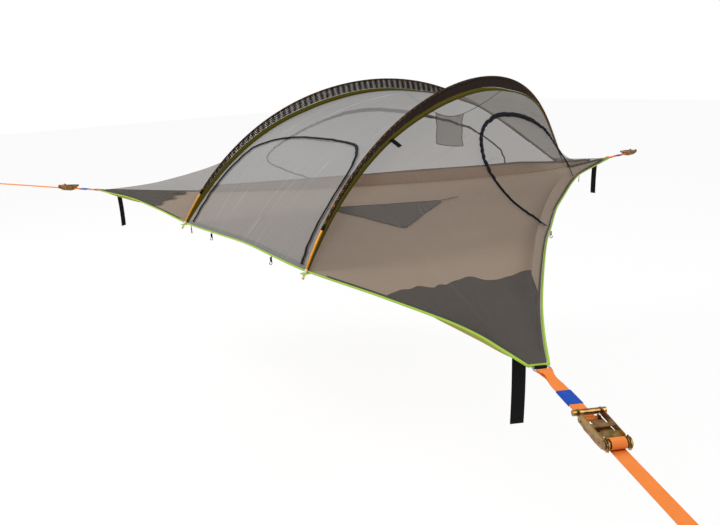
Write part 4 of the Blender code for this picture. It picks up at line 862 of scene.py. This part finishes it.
def build_long_strap(corner):
    place = strap_frame(corner, RATCHET_AT, RATCHET_LIFT)
    end = STRAP_REACH[corner] - RATCHET_AT
    half, open_half = WEBBING_THICKNESS / 2, EYE_OPENING / 2
    eye, sewn = end - EYE_LENGTH, end - EYE_LENGTH - EYE_SEWN_LENGTH
    middle = end - EYE_LENGTH / 2
    loop = [(eye, STRAP_LEVEL - half), (middle, STRAP_LEVEL - open_half - half)]
    loop += arc((end - open_half, STRAP_LEVEL), open_half - half, -pi / 3, pi / 3, 8)
    loop += [(middle, STRAP_LEVEL + open_half + half), (eye, STRAP_LEVEL + 2 * half)]
    path = [(x, STRAP_LEVEL) for x in spread(15, 0, sewn)] + [(sewn + 0.01, STRAP_LEVEL - half)]
    path += [*finer(loop, 4), (sewn + 0.008, STRAP_LEVEL + 2 * half)]
    strap = strap_object("strap_to_tree_" + corner, place, path, WEBBING_WIDTH)
    dress(strap, ORANGE_WEBBING, "orange_webbing", "long_strap_" + corner)
    wound = []
    for turn in spread(90, 0, STRAP_TURNS):
        radius, angle = FIRST_TURN_RADIUS + STRAP_TURN_PITCH * turn, -pi / 2 - 2 * pi * (STRAP_TURNS - turn)
        wound.append((radius * cos(angle), radius * sin(angle)))
    wrap = dress(strap_object("strap_on_drum_" + corner, place, wound, WEBBING_WIDTH), ORANGE_WEBBING, "orange_webbing")
    width = WEBBING_WIDTH / 2 - 0.005
    thread = stitches("eye_stitches_" + corner, place, (sewn + 0.014, -width), (eye, width), STRAP_LEVEL + 3 * half)


# Cloth of the canopy

CREASE_SCALE = 7.0
CREASE_EDGE = 6


def panel_grid(rows, columns):
    grid = NET[rows[0]:rows[1] + 1, columns[0]:columns[1] + 1]
    return finer(finer(grid, 2).transpose(1, 0, 2), 2).transpose(1, 0, 2)


def creased(grid, height, seed, stretch):
    """Soft creases, drawn out along stretch, that fade out at the grid's edges."""
    normals = np.cross(np.gradient(grid, axis=0), np.gradient(grid, axis=1))
    normals /= np.maximum(np.linalg.norm(normals, axis=2, keepdims=True), 1e-9)
    fades = [np.clip(np.minimum(np.arange(n), n - 1 - np.arange(n)) / CREASE_EDGE, 0, 1) for n in grid.shape[:2]]
    heights = height * np.outer(*fades)
    stretch = unit(np.array(stretch, float))
    moved = grid.copy()
    for place in np.ndindex(heights.shape):
        squeezed = (grid[place] - stretch * (grid[place] @ stretch) * 0.85) * CREASE_SCALE
        value = soft(*(squeezed + np.array([1, 2.3, 0.7]) * seed))
        value += 0.45 * soft(*(squeezed * 2.1 + [seed * 3.1, 1.7, seed]))
        moved[place] += normals[place] * heights[place] * value
    return moved


def build_canopy():
    side = panel_grid((0, POLE_END_ROW), SIDE_SPAN)
    roof = panel_grid((0, POLE_END_ROW), ROOF_SPAN)
    tail = panel_grid((POLE_END_ROW, len(NET) - 1), (0, LAST_COLUMN))
    panels = (
        ("side_mesh_right", creased(side, 0.006, 3.0, (0.5, -0.3, -0.6)), SIDE_NET_PAINTED_SHADE),
        ("side_mesh_left", creased(mirrored(side, "left"), 0.006, 8.0, (-0.5, -0.3, -0.6)), SIDE_NET_PAINTED_SHADE),
        ("roof_mesh", creased(roof, 0.006, 5.0, (0.2, 0.9, 0.1)), ROOF_NET_PAINTED_LIT),
        ("tail_mesh", creased(tail, 0.004, 2.0, (0, 1, 0)), SIDE_NET_PAINTED_SHADE),
    )
    for name, grid, material in panels:
        item = grid_object(name.replace("mesh", "net"), grid)
        changed_mesh(item.data, weld)
        dress(item, material, "mesh_cloth", name)
        declared_sheet(item, grid, "stretched", "seam_tape_left", "seam_tape_right")


# Poles, sleeves and bindings

SEAM_TAPE_SPAN = (0.012, 0.93)
SEAM_TAPE_HALF = 0.0022
SLEEVE_GAP = 0.0016
CUFF_GAP = 0.0026
SLEEVE_SPAN = (0.063, 0.975)
CUFF_SPAN = (SLEEVE_SPAN[0] - 0.002, SLEEVE_SPAN[0] + 0.004)
TIP_SPAN = (0, 0.012)
TIP_RADII = [0.0035, 0.0062, 0.0064, 0.0064, 0.006]
TAB_ROW = 14.1
TAB_WIDTH = 0.024
TAB_THICKNESS = 0.003


def build_pole_tube(name, side, span, steps, radius, sides, material, slot, *nodes):
    points = mirrored([pole_point(share) for share in spread(steps, *span)], side)
    dress(tube_object(name + side, points, radius, sides), material, slot, *nodes)


def build_seam_tape(side):
    """Olive binding on the seam. By the foot it fills all of the space up to the pole."""
    sections = []
    for share in spread(190, *SEAM_TAPE_SPAN):
        up, across = pole_axes(share)
        base = seam_point(share)
        reach = pole_point(share) - base
        filled = min(max((share - 0.02) / 0.012, 0), 1, max((0.085 - share) / 0.02, 0))
        height = (binding_height(share) + 0.001) * (1 - filled)
        height += max(np.linalg.norm(reach) - POLE_RADIUS * 0.6, 0.002) * filled
        way = unit(up * (1 - filled) + unit(reach) * filled)
        sections.append(box_ring(base - way * 0.002, way, across, height + 0.002, SEAM_TAPE_HALF + 0.0004 * filled))
    tape = loft_object("seam_tape_" + side, mirrored(sections, side))
    dress(tape, BINDING_CLOTH, "olive_cloth", "seam_binding_" + side)


def build_sleeve(side):
    rows, tags = [], []
    radius = POLE_RADIUS + SLEEVE_GAP
    for share in spread(240, *SLEEVE_SPAN):
        up, across = pole_axes(share)
        low = -max(lace_reach(share) - binding_height(share) - 0.002, radius)
        leaf = [(-SLEEVE_GAP, z) for z in spread(5, low, -radius * 0.4)]
        shape = leaf + arc((0, 0), radius, pi * 1.25, -pi * 0.25, 12) + [(-x, z) for x, z in reversed(leaf)]
        rows.append([pole_point(share) + across * x + up * z for x, z in shape])
        tags += [(0, share)] * len(shape)
    rows = mirrored(rows, side)
    sleeve = grid_object("lace_sleeve_" + side, rows)
    add_map(sleeve.data, "Sleeve", tags)
    dress(sleeve, SLEEVE_LACE, "lace_cloth", "sleeve_" + side)
    declared_sheet(sleeve, rows, "folded", "pole_tube_" + side)


def build_tie_tab(side):
    """Black tab sewn to the binding, for tying gear up inside the roof."""
    steps = spread(8)
    ups = np.array([net_normal(TAB_ROW + t, SIDE_SPAN[0] + t, SIDE_SPAN) for t in steps])
    points = [on_net(TAB_ROW + t, SIDE_SPAN[0] + t) + up * (0.013 - 0.004 * t) for t, up in zip(steps, ups)]
    points, ups = mirrored(points, side), mirrored(ups, side)
    tab = ribbon_object("tie_tab_" + side, points, ups, across_line(points, ups), TAB_WIDTH, TAB_THICKNESS)
    dress(tab, BLACK_WEBBING, "black_webbing")


# Floor, hatch, covers, piping and bands

EDGE_STEPS = 83
FLOOR_RINGS = 44
HOLE_INSET = 0.035
HATCH_RINGS, HATCH_TURNS = 40, 240
HATCH_HEM_RADIUS = 0.0026
HATCH_TAPE_WIDTH, HATCH_TAPE_THICKNESS = 0.011, 0.002
HATCH_TAPE_START, HATCH_TAPE_STEP = 0.437, 0.018
PLEAT_RUN = 0.22
PIPING_OUT, PIPING_RADIUS = 0.0051, 0.0045
POINT_SPACING = 0.002
PLEATS = ((-37.6, 2.4, 0.012), (-32.2, 2.0, 0.01), (-27.5, 1.6, 0.005))
COVER_REACHES = {
    "a": [(0, 0.6), (0.2, 0.68), (0.35, 0.62), (0.55, 0.72), (0.75, 0.68), (0.9, 0.76), (1, 0.7)],
    "b": [(0, 0.42), (0.25, 0.36), (0.4, 0.42), (0.6, 0.36), (0.8, 0.41), (1, 0.38)],
    "c": [(0, 0.82), (0.24, 0.88), (0.32, 0.83), (0.47, 0.92), (0.63, 0.92), (0.8, 0.9), (0.92, 1.02), (1, 0.99)],
}
COVER_SMALL_WAVES, COVER_BIG_WAVES = 9, 4
COVER_TIP_REACH = 0.045
COVER_INSET = 0.012
COVER_LIFT = 0.005
COVER_BINDING_RADIUS = 0.0024
# The two edges that meet at a corner, and whether they end there
COVER_EDGES = {
    "a": (("left", False), ("front", False)), "b": (("right", True), ("left", True)),
    "c": (("front", True), ("right", False)),
}
BAND_FOOT = 0.002
BAND_INSET = 0.002
SIDE_BAND_HEIGHT, CORNER_BAND_RISE, CORNER_BAND_REACH = 0.018, 0.03, 0.5
FRONT_BAND_HEIGHT = 0.024
SKIRT_HEIGHT = 0.1
SKIRT_INSET = 0.007
SKIRT_TAPE_WIDTH, SKIRT_TAPE_THICKNESS = 0.014, 0.0014
SKIRT_START_SHARE = 0.16
HEM_SPAN = (0.872, 0.982)
HEM_HEIGHT = 0.0135
HEM_HALF = 0.0012


def edge_loop(out=0.0):
    """The whole edge, anticlockwise from corner A."""
    shares = spread(EDGE_STEPS)
    sides = (("front", shares), ("right", shares), ("left", shares[::-1]))
    return np.array([edge_point(side, share, out) for side, row in sides for share in row])


def hatch_turn(turn):
    """The angle from the nearest middle of the triangle's sides."""
    return (turn - CORNER_ANGLES["a"]) % (2 * pi / 3) - pi / 3


def hatch_reach(turn, radius):
    return min(radius * cos(pi / 3) / cos(hatch_turn(turn)), radius - HATCH_TIP_ROUND)


def build_floor():
    rim = edge_loop()
    hole = []
    for x, y, _ in rim:
        turn = atan2(y, x)
        reach = hatch_reach(turn, HATCH_RADIUS - HOLE_INSET)
        hole.append([reach * cos(turn), reach * sin(turn), 0])
    rows = []
    for part in spread(FLOOR_RINGS):
        row = np.array(hole) * (1 - part) + rim * part
        for place in row:
            x, y = place[:2]
            dent = soft(x * 2.2, y * 2.2, 0.3) * 0.008 + soft(x * 7, y * 7, 4) * 0.003
            place[2] = floor_height(x, y) + dent * min(1, part * 6) * min(1, (1 - part) * 5)
        rows.append(row)
    floor = dress(grid_object("floor_sheet", rows, wrap=True), FLOOR_CLOTH_PAINTED_LIGHTER, "floor_cloth", "floor_panel")


def hatch_lift(x, y, part):
    """Pleats that fan out from the far edge, and soft waves, all level again at the hem."""
    x_away, y_away = x - PLEAT_START[0], y - PLEAT_START[1]
    turn, grown = degrees(atan2(y_away, x_away)), min(sqrt(x_away**2 + y_away**2) / PLEAT_RUN, 1)
    lift = max(0, 0.002 + 0.008 * soft(x * 6, y * 6, 7))
    for middle, half, height in PLEATS:
        lift += height * grown * max(0, 1 - abs(turn - middle) / half)
    return 0.003 + lift * min((1 - part) * 6, 1)


def build_hatch():
    """A loose three-cornered flap with a few pleats, and the pull tape from the end of its hinge line."""
    rows = []
    for part in spread(HATCH_RINGS)[1:]:
        row = []
        for turn in circle(HATCH_TURNS):
            reach = hatch_reach(turn, HATCH_RADIUS) * (1 - 0.03 * cos(1.5 * hatch_turn(turn)) ** 4) * part
            x, y = reach * cos(turn), reach * sin(turn)
            row.append([x, y, HATCH_BOTTOM + hatch_lift(x, y, part)])
        rows.append(row)
    item = grid_object("hatch_cloth", rows, wrap=True)

    def close_middle(body):
        body.verts.ensure_lookup_table()
        body.faces.new(body.verts[:HATCH_TURNS])

    changed_mesh(item.data, close_middle)
    dress(item, HATCH_CLOTH_PAINTED_FOLDS, "dark_cloth", "hatch_flap", body="hatch")
    hem = tube_object("hatch_hem", np.array(rows[-1]) + [0, 0, 0.001], HATCH_HEM_RADIUS, 8, closed=True)
    dress(hem, DARK_CLOTH, "dark_cloth", body="hatch")
    line = [(0.001 * k, HATCH_TAPE_START + HATCH_TAPE_STEP * k) for k in range(10)]
    points = np.array([[x + 0.004 * sin(y * 30), y, floor_height(x, y) + 0.01] for x, y in line])
    ups, acrosses = np.tile([0, 0, 1.0], (10, 1)), np.tile([1.0, 0, 0], (10, 1))
    tape = ribbon_object("hatch_pull_tape", points, ups, acrosses, HATCH_TAPE_WIDTH, HATCH_TAPE_THICKNESS)
    dress(tape, DARK_CLOTH, "dark_cloth")


def build_piping():
    loop = edge_loop(PIPING_OUT)
    keep = [loop[0]]
    for point in loop[1:]:
        if np.linalg.norm(point - keep[-1]) > POINT_SPACING:
            keep.append(point)
    dress(tube_object("lime_piping", keep, PIPING_RADIUS, 8, closed=True), LIME_TAPE, "lime_tape", "edge_piping")


def cover_point(corner, part, q):
    """A point of a corner's cover. part runs from the loose edge to the corner, q from edge to edge."""
    reach = smooth_read(COVER_REACHES[corner], q) + 0.006 * sin(2 * pi * COVER_SMALL_WAVES * q) * sin(pi * q)
    away = (reach * (1 - part) + COVER_TIP_REACH * part) / SIDE
    first, last = (edge_point(side, 1 - away if ends else away) for side, ends in COVER_EDGES[corner])
    across = unit(last - first)
    place = (first + across * COVER_INSET) * (1 - q) + (last - across * COVER_INSET) * q
    loose = (1 - part) ** 4 * (1 - (2 * q - 1) ** 2)
    lift = COVER_LIFT + loose * (0.014 + 0.008 * sin(2 * pi * COVER_BIG_WAVES * q))
    fold = 0.007 * soft(q * 14 + part * 5, part * 2.2, 3 + CORNER_ANGLES[corner])
    place[2] = floor_height(place[0], place[1]) + lift + fold * sin(pi * q) * (1 - part * 0.8)
    return place


def build_cover(corner):
    """Dark cloth over a corner of the floor, with a loose wavy edge in thin olive binding."""
    rows = [[cover_point(corner, part, q) for q in spread(80)] for part in spread(40)]
    item = grid_object("cover_cloth_" + corner, rows)
    dress(item, DARK_CLOTH, "dark_cloth", "corner_cover_" + corner)
    declared_sheet(item, rows, "laid", "floor_sheet")
    dress(tube_object("cover_binding_" + corner, rows[0], COVER_BINDING_RADIUS, 8), BINDING_CLOTH, "olive_cloth")


def side_normal(i):
    """Normal of the side net near its rim."""
    return net_normal(min(i, POLE_END_ROW), SIDE_SPAN[1] - 0.4, SIDE_SPAN)


def band_pair(rim, inner, height, shift):
    way = unit(inner - rim)
    return rim + way * BAND_FOOT + shift, rim + way * height + shift


def build_wall_band(side, pairs, steps):
    """The low dark band that stands inside the piping."""
    lows, tops = (finer(mirrored(line, side), steps) for line in zip(*pairs))
    rows = [lows * (1 - t) + tops * t for t in (0, 0.35, 0.7, 1)]
    dress(grid_object("wall_band_" + side, rows), DARK_CLOTH, "dark_cloth")


def build_wall_bands():
    corner = outward("c") * CORNER_RADIUS
    pairs = []
    for i in range(2, len(NET) - 3):
        near = np.exp(-(np.linalg.norm(NET[i, -1] - corner) / CORNER_BAND_REACH) ** 2)
        height = SIDE_BAND_HEIGHT + CORNER_BAND_RISE * near
        pairs.append(band_pair(NET[i, -1], NET[i, -2], height, side_normal(i) * -BAND_INSET))
    for side in ("right", "left"):
        build_wall_band(side, pairs, 3)
    shift = np.array([0, BAND_INSET, 0])
    columns = range(ROOF_SPAN[0], ROOF_SPAN[1] + 1)
    build_wall_band("front", [band_pair(NET[0, j], NET[1, j], FRONT_BAND_HEIGHT, shift) for j in columns], 8)


def rim_share(i):
    """Share along the side edge of a row's rim point, from corner C to B."""
    r = i / ROW_STEPS
    if r <= POLE_ROWS:
        return TAIL_ROW_SHARE * (r - FRONT_ROWS - 1) / SIDE_ROWS
    return TAIL_ROW_SHARE + (1 - TAIL_ROW_SHARE) * (r - POLE_ROWS) / TAIL_ROWS


def skirt_top(i):
    """Column of the net where the low inner wall's top edge lies."""
    height = SKIRT_HEIGHT * smooth_read(SIDE_BOW_SHARES, rim_share(i))
    column = float(LAST_COLUMN)
    while column > LAST_COLUMN - 5 and on_net(i, column)[2] - NET[i, -1][2] < height:
        column -= 0.02
    return column


def build_skirts():
    """Low floor-cloth wall inside the side nets. The left one has a grey tape along its top."""
    wanted = range((FRONT_ROWS + 1) * ROW_STEPS + 2, len(NET) - 4)
    shown = [i for i in wanted if rim_share(i) >= SKIRT_START_SHARE]
    normals = np.array([side_normal(i) for i in shown])
    rows = [[on_net(i, column) - normal * SKIRT_INSET for column in spread(5, LAST_COLUMN, skirt_top(i))]
            for i, normal in zip(shown, normals)]
    for side in ("right", "left"):
        points = finer(mirrored(rows, side), 2)
        item = dress(grid_object("floor_skirt_" + side, points), FLOOR_CLOTH_PAINTED_LIGHTER, "floor_cloth")
        declared_sheet(item, points, "stretched", "side_net_" + side)
    line, ups = mirrored(np.array(rows)[:, -1] + normals * 0.001, "left"), mirrored(normals, "left")
    tape = ribbon_object("skirt_tape_left", line, ups, across_line(line, ups), SKIRT_TAPE_WIDTH, SKIRT_TAPE_THICKNESS)
    dress(tape, GREY_TAPE, "dark_cloth")


def build_hem(side):
    """Straight hem tape that shows below the curved front edge near each front corner."""
    down, across = np.array([0, 0, -1.0]), np.array([0, 1.0, 0])
    sections = []
    for share, part in zip(spread(40, *HEM_SPAN), spread(40)):
        height = 0.002 + HEM_HEIGHT * sin(pi * part) ** 0.7
        sections.append(box_ring(edge_point("front", share, 0.004, -0.002), down, across, height, HEM_HALF))
    dress(loft_object("edge_hem_" + side, mirrored(sections, side)), HEM_CLOTH, "floor_cloth")


# Door zips

FRONT_DOOR_SHARES = [
    (0.01, 0.05), (0.06, 0.035), (0.13, 0.035), (0.175, 0.06), (0.215, 0.2), (0.23, 0.42), (0.225, 0.64),
    (0.207, 0.78), (0.16, 0.885), (0.1, 0.92), (0.05, 0.93), (0.01, 0.955),
]
SIDE_DOOR_SHARES = [
    (0.955, 0.85), (0.905, 0.4), (0.82, 0.22), (0.71, 0.19), (0.6, 0.17), (0.505, 0.17), (0.445, 0.23),
    (0.423, 0.35), (0.433, 0.5), (0.475, 0.65), (0.56, 0.8), (0.64, 0.93),
]
FRONT_ZIP_WIDTH, SIDE_ZIP_WIDTH = 0.018, 0.012
ZIP_THICKNESS = 0.0012
COIL_STEP = 0.006
COIL_RADII = (0.0022, 0.0028)
ROLL_BEAD_SPACING = 0.055
ROLL_END_RADIUS = 0.002
ROLL_RADII = [
    (0, 0.004), (0.14, 0.005), (0.17, 0.0075), (0.3, 0.0095), (0.33, 0.013), (0.55, 0.013), (0.62, 0.009),
    (0.78, 0.0075), (0.82, 0.005), (1, 0.0045),
]


def zip_line(side, shares, columns, lift, wave):
    """Points, normals and sideways directions along a zip on the net."""
    line = [(a * POLE_END_ROW, columns[0] + b * (columns[1] - columns[0])) for a, b in finer(shares, 12)]
    ups = np.array([net_normal(i, j, columns) for i, j in line])
    points = mirrored([on_net(i, j) for i, j in line] + ups * lift, side)
    ups = mirrored(ups, side)
    acrosses = across_line(points, ups)
    shift = np.array([wave * soft(k * 0.35, 2.0, 5.0) for k in range(len(points))])
    return points + acrosses * shift[:, None], ups, acrosses


def build_zip(side, shares, columns, width):
    points, ups, acrosses = zip_line(side, shares, columns, 0.008, 0.006)
    tape = ribbon_object("zip_tape_" + side, points, ups, acrosses, width, ZIP_THICKNESS)
    dress(tape, ZIP_TAPE, "black_webbing", "door_zip_" + side)
    far = run_along(points)
    count = int(far[-1] / COIL_STEP)
    raised = points + 0.0014 * ups
    fine = [[np.interp(place, far, raised[:, axis]) for axis in range(3)] for place in spread(count, 0, far[-1])]
    radii = [COIL_RADII[k % 2] for k in range(count + 1)]
    dress(tube_object("zip_coil_" + side, fine, radii, 6), ZIP_COIL, "black_webbing")


def build_door_roll(side):
    """The side door's edge, gathered in a roll that is thickest at its head and beaded below it."""
    points = zip_line(side, SIDE_DOOR_SHARES, SIDE_SPAN, 0.012, 0.008)[0]
    line = finer(points[int(len(points) * 0.05):int(len(points) * 0.95)], 4)
    far = run_along(line)
    radii = []
    for place in far:
        part = place / far[-1]
        beaded = 0.14 < part < 0.33 or 0.6 < part < 0.82
        bead = 0.0035 * (abs(sin(pi * place / ROLL_BEAD_SPACING)) - 0.6) if beaded else 0.0006 * soft(place * 30, 0, 0)
        radii.append(read(ROLL_RADII, part) + bead)
    radii[0] = radii[-1] = ROLL_END_RADIUS
    dress(tube_object("door_roll_" + side, line, radii, 12), ZIP_TAPE, "black_webbing")


# Gear pocket

POCKET_HALF = 0.125
POCKET_TOP, POCKET_LOW = 0.512, 0.307
POCKET_PLACE = 0.52
POCKET_CORD = 0.0036
POCKET_HEM_RADIUS = 0.0022


def pocket_point(part, q):
    """A point of the pocket. part runs from top to bottom, q from -1 to 1 across it."""
    middle = 1 - q * q
    sag, belly = 0.02 * middle * (1 - part) ** 2, 0.008 * middle * part**3
    narrow = 1 - 0.06 * sin(pi * part) + 0.025 * sin(part * 13 + q)
    puff = 0.014 * middle * sin(pi * min(part * 1.1, 1))
    crease = 0.004 * soft(q * 5, part * 2, 9)
    level = POCKET_TOP + (POCKET_LOW - POCKET_TOP) * part
    return [POCKET_HALF * q * narrow, POCKET_PLACE - puff + crease, level - sag - belly]


def build_pocket():
    rows = np.array([[pocket_point(part, q) for q in spread(30, -1, 1)] for part in spread(24)])
    item = dress(grid_object("pocket_cloth", rows), POCKET_CLOTH, "dark_cloth", "gear_pocket")
    share = 0.0
    while seam_point(share)[1] < POCKET_PLACE:
        share += 1 / 2000
    for side in ("left", "right"):
        start = mirrored([POCKET_HALF - 0.002, POCKET_PLACE, POCKET_TOP - 0.002], side)
        end = mirrored(seam_point(share) - [0.006, 0, 0.003], side)
        line = np.array([start * (1 - t) + end * t - [0, 0, 0.01 * sin(pi * t)] for t in spread(12)])
        cord = dress(tube_object("pocket_cord_" + side, line, POCKET_CORD / 2, 8), BLACK_WEBBING, "dark_cloth")
    around = np.array([*rows[0], *rows[1:, -1], *rows[-1, -2::-1], *rows[-2:0:-1, 0]]) - [0, 0.0012, 0]
    dress(tube_object("pocket_hem", around, POCKET_HEM_RADIUS, 8, closed=True), BLACK_WEBBING, "dark_cloth")


# Corner hardware

RING_NEAR, RING_FAR, RING_WIRE = 0.016, 0.038, 0.0025
EYE_GAP = 0.0004
RING_EYE = RING_WIRE + EYE_GAP + WEBBING_THICKNESS / 2
BAND_WIDTH = 0.032
BAND_LENGTH = 0.17
BAND_LEVEL = -0.0053
BAND_WIDTHS = [(-0.07, 1), (-0.03, 1.35), (-0.006, 1.35), (0.01, 1.12), (0.03, 1.12)]
BAND_SLOPE = -floor_height(0, CORNER_RADIUS - BAND_LENGTH) / BAND_LENGTH - tan(STRAP_RISE)
BOLT_AT = RATCHET_AT - 0.125
BOLT_RADIUS = 0.004
BOLT_EYE = BOLT_RADIUS + EYE_GAP + WEBBING_THICKNESS / 2
ANCHOR_LEAF_LEVEL = 0.00105
STRAP_WIDTHS = [(0.03, 1.15), (0.05, 1.05), (0.075, 0.72), (0.085, 0.72), (0.125, 1)]
LABEL_SPAN = (0.162, 0.234)
LABEL_LEVEL = 0.0028
HANGING_INSET = 0.145
HANGING_WIDTH, HANGING_LENGTH = 0.045, 0.255
HANGING_THICKNESS = 0.0024
HANGING_BOW = 0.004
HOOK_STRAP_LENGTH = 0.024
NODE_LOOKS = (
    ("ratchet_", ZINC), ("corner_ring_", RING_STEEL), ("tail_pole_socket", TRIM_PLASTIC),
    ("hatch_toggle", TRIM_PLASTIC), ("fly_hook_", TRIM_PLASTIC), ("zip_pull_", BLACK_WEBBING),
    ("pole_foot_tab_", LIME_TAPE),
)
HOOK_PLACES = {"front_left": ("front", 0.41), "front_right": ("front", 0.58), "side_right": ("right", 0.44),
               "side_left": ("left", 0.44)}


def widen(local):
    """The band spreads where it folds round the ring."""
    local.y *= read(BAND_WIDTHS, local.x)


def gather(local):
    """The loop fills the ring, is gathered just behind it, and folds over itself on one side."""
    gathered = np.exp(-((local.x - 0.072) / 0.022) ** 2)
    over = max(local.y, 0) / (WEBBING_WIDTH / 2)
    local.y *= read(STRAP_WIDTHS, local.x)
    if local.z > 0:
        local.z += 0.005 * gathered + 0.007 * over**2 * np.exp(-((local.x - 0.058) / 0.014) ** 2)
    else:
        local.z -= 0.002 * gathered


def build_corner(corner):
    place = strap_frame(corner)
    path = [(x, BAND_LEVEL + BAND_SLOPE * x) for x in spread(8, -BAND_LENGTH, 0)]
    path += arc((RING_NEAR, 0), RING_EYE, -pi / 2, pi * 0.9, 12)
    path += [(RING_NEAR - RING_EYE - 0.004, BAND_LEVEL + WEBBING_THICKNESS)]
    band = strap_object("corner_band_" + corner, place, path, BAND_WIDTH)
    reshape(band, place, widen)
    dress(band, BLACK_WEBBING, "black_webbing", "corner_webbing_" + corner)
    run = spread(24, RING_FAR + 0.008, BOLT_AT - 0.003)
    loop = [(x, -ANCHOR_LEAF_LEVEL) for x in run] + arc((BOLT_AT, 0), BOLT_EYE, -pi * 0.85, pi * 0.85, 16)
    loop += [(x, ANCHOR_LEAF_LEVEL) for x in run[::-1]] + arc((RING_FAR, 0), RING_EYE, pi * 0.15, pi * 1.85, 14)
    strap = strap_object("anchor_loop_" + corner, place, loop, WEBBING_WIDTH, closed=True)
    reshape(strap, place, gather)
    dress(strap, ORANGE_WEBBING, "orange_webbing", "anchor_strap_" + corner)
    half, tip = WEBBING_WIDTH / 2 + 0.0012, WEBBING_WIDTH / 2 + 0.0018
    ring = [(-half, -LABEL_LEVEL), (half, -LABEL_LEVEL), (tip, 0), (half, LABEL_LEVEL), (-half, LABEL_LEVEL), (-tip, 0)]
    sections = [in_frame(place, [(x, y, z * (1 + 0.04 * sin(x * 300))) for y, z in ring])
                for x in spread(13, *LABEL_SPAN)]
    dress(loft_object("blank_label_" + corner, sections), BLUE_LABEL, "orange_webbing")
    stitches("anchor_stitches_" + corner, place, (0.07, -0.012), (0.105, 0.012), 0.0021)
    build_hanging(corner, place)


def build_hanging(corner, place):
    drop = BAND_LEVEL - WEBBING_THICKNESS / 2 - BAND_SLOPE * HANGING_INSET - 0.00155
    where = frame_at(place @ Vector((-HANGING_INSET, 0, drop)), (outward(corner), sideways(corner), (0, 0, 1)))
    bow = HANGING_BOW if corner == "c" else -HANGING_BOW
    path = [(bow * sin(pi * t), 0.0004 - (HANGING_LENGTH - 0.002) * t) for t in spread(21)]
    item = strap_object("hanging_webbing_" + corner, where, path, HANGING_WIDTH, HANGING_THICKNESS)
    node = "hanging_strap_" + corner
    dress(item, BLACK_WEBBING, "black_webbing", node, body=node)


def dress_nodes():
    """Finishes for the frame's own solids that stay as they are."""
    for name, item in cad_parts.items():
        for start, material in NODE_LOOKS:
            if name.startswith(start) and not item.hide_render:
                for entry in item.material_slots:
                    entry.material = material
                if not item.material_slots:
                    item.data.materials.append(material)


def build_hook_strap(name, side, share):
    """A folded strap round a hook's shank, which narrows towards the hook."""
    low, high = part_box("fly_hook_" + name)
    along = unit((edge_point(side, share + 0.01) - edge_point(side, share - 0.01)) * [1, 1, 0])
    across = np.cross((0, 0, 1), along)
    sections = []
    for t in spread(8):
        place = np.array([(low[0] + high[0]) / 2, (low[1] + high[1]) / 2, high[2] - 0.0055 - HOOK_STRAP_LENGTH * t])
        wide, thick = 0.0075 - 0.003 * t, 0.0026 + 0.0006 * t
        sections.append([place + along * wide * cos(a) + across * thick * sin(a) for a in circle(16)])
    item = loft_object("hook_strap_" + name, sections)
    dress(item, BLACK_WEBBING, "black_plastic", body="fly_hook_" + name)


build_camera()
for corner in STRAP_REACH:
    build_long_strap(corner)
build_world()
build_lamps()
build_ground()
build_canopy()
for side in ("left", "right"):
    build_pole_tube("pole_tube_", side, (0, 1), 140, POLE_RADIUS, 14, POLE_GOLD, "gold_pole", "pole_" + side)
    build_pole_tube("pole_tip_", side, TIP_SPAN, 4, TIP_RADII, 12, PALE_CAP, "black_plastic")
    build_seam_tape(side)
    build_sleeve(side)
    build_pole_tube("sleeve_cuff_", side, CUFF_SPAN, 6, POLE_RADIUS + CUFF_GAP, 14, BLACK_WEBBING, "black_webbing")
    build_tie_tab(side)
build_floor()
build_hatch()
build_piping()
for corner in CORNER_ANGLES:
    build_cover(corner)
build_wall_bands()
build_skirts()
for side in ("right", "left"):
    build_hem(side)
build_zip("front", FRONT_DOOR_SHARES, ROOF_SPAN, FRONT_ZIP_WIDTH)
for side in ("right", "left"):
    build_zip(side, SIDE_DOOR_SHARES, SIDE_SPAN, SIDE_ZIP_WIDTH)
    build_door_roll(side)
build_pocket()
for corner in CORNER_ANGLES:
    build_corner(corner)
dress_nodes()
for name, (side, share) in HOOK_PLACES.items():
    build_hook_strap(name, side, share)

bpy.context.scene.view_settings.view_transform = "Standard"
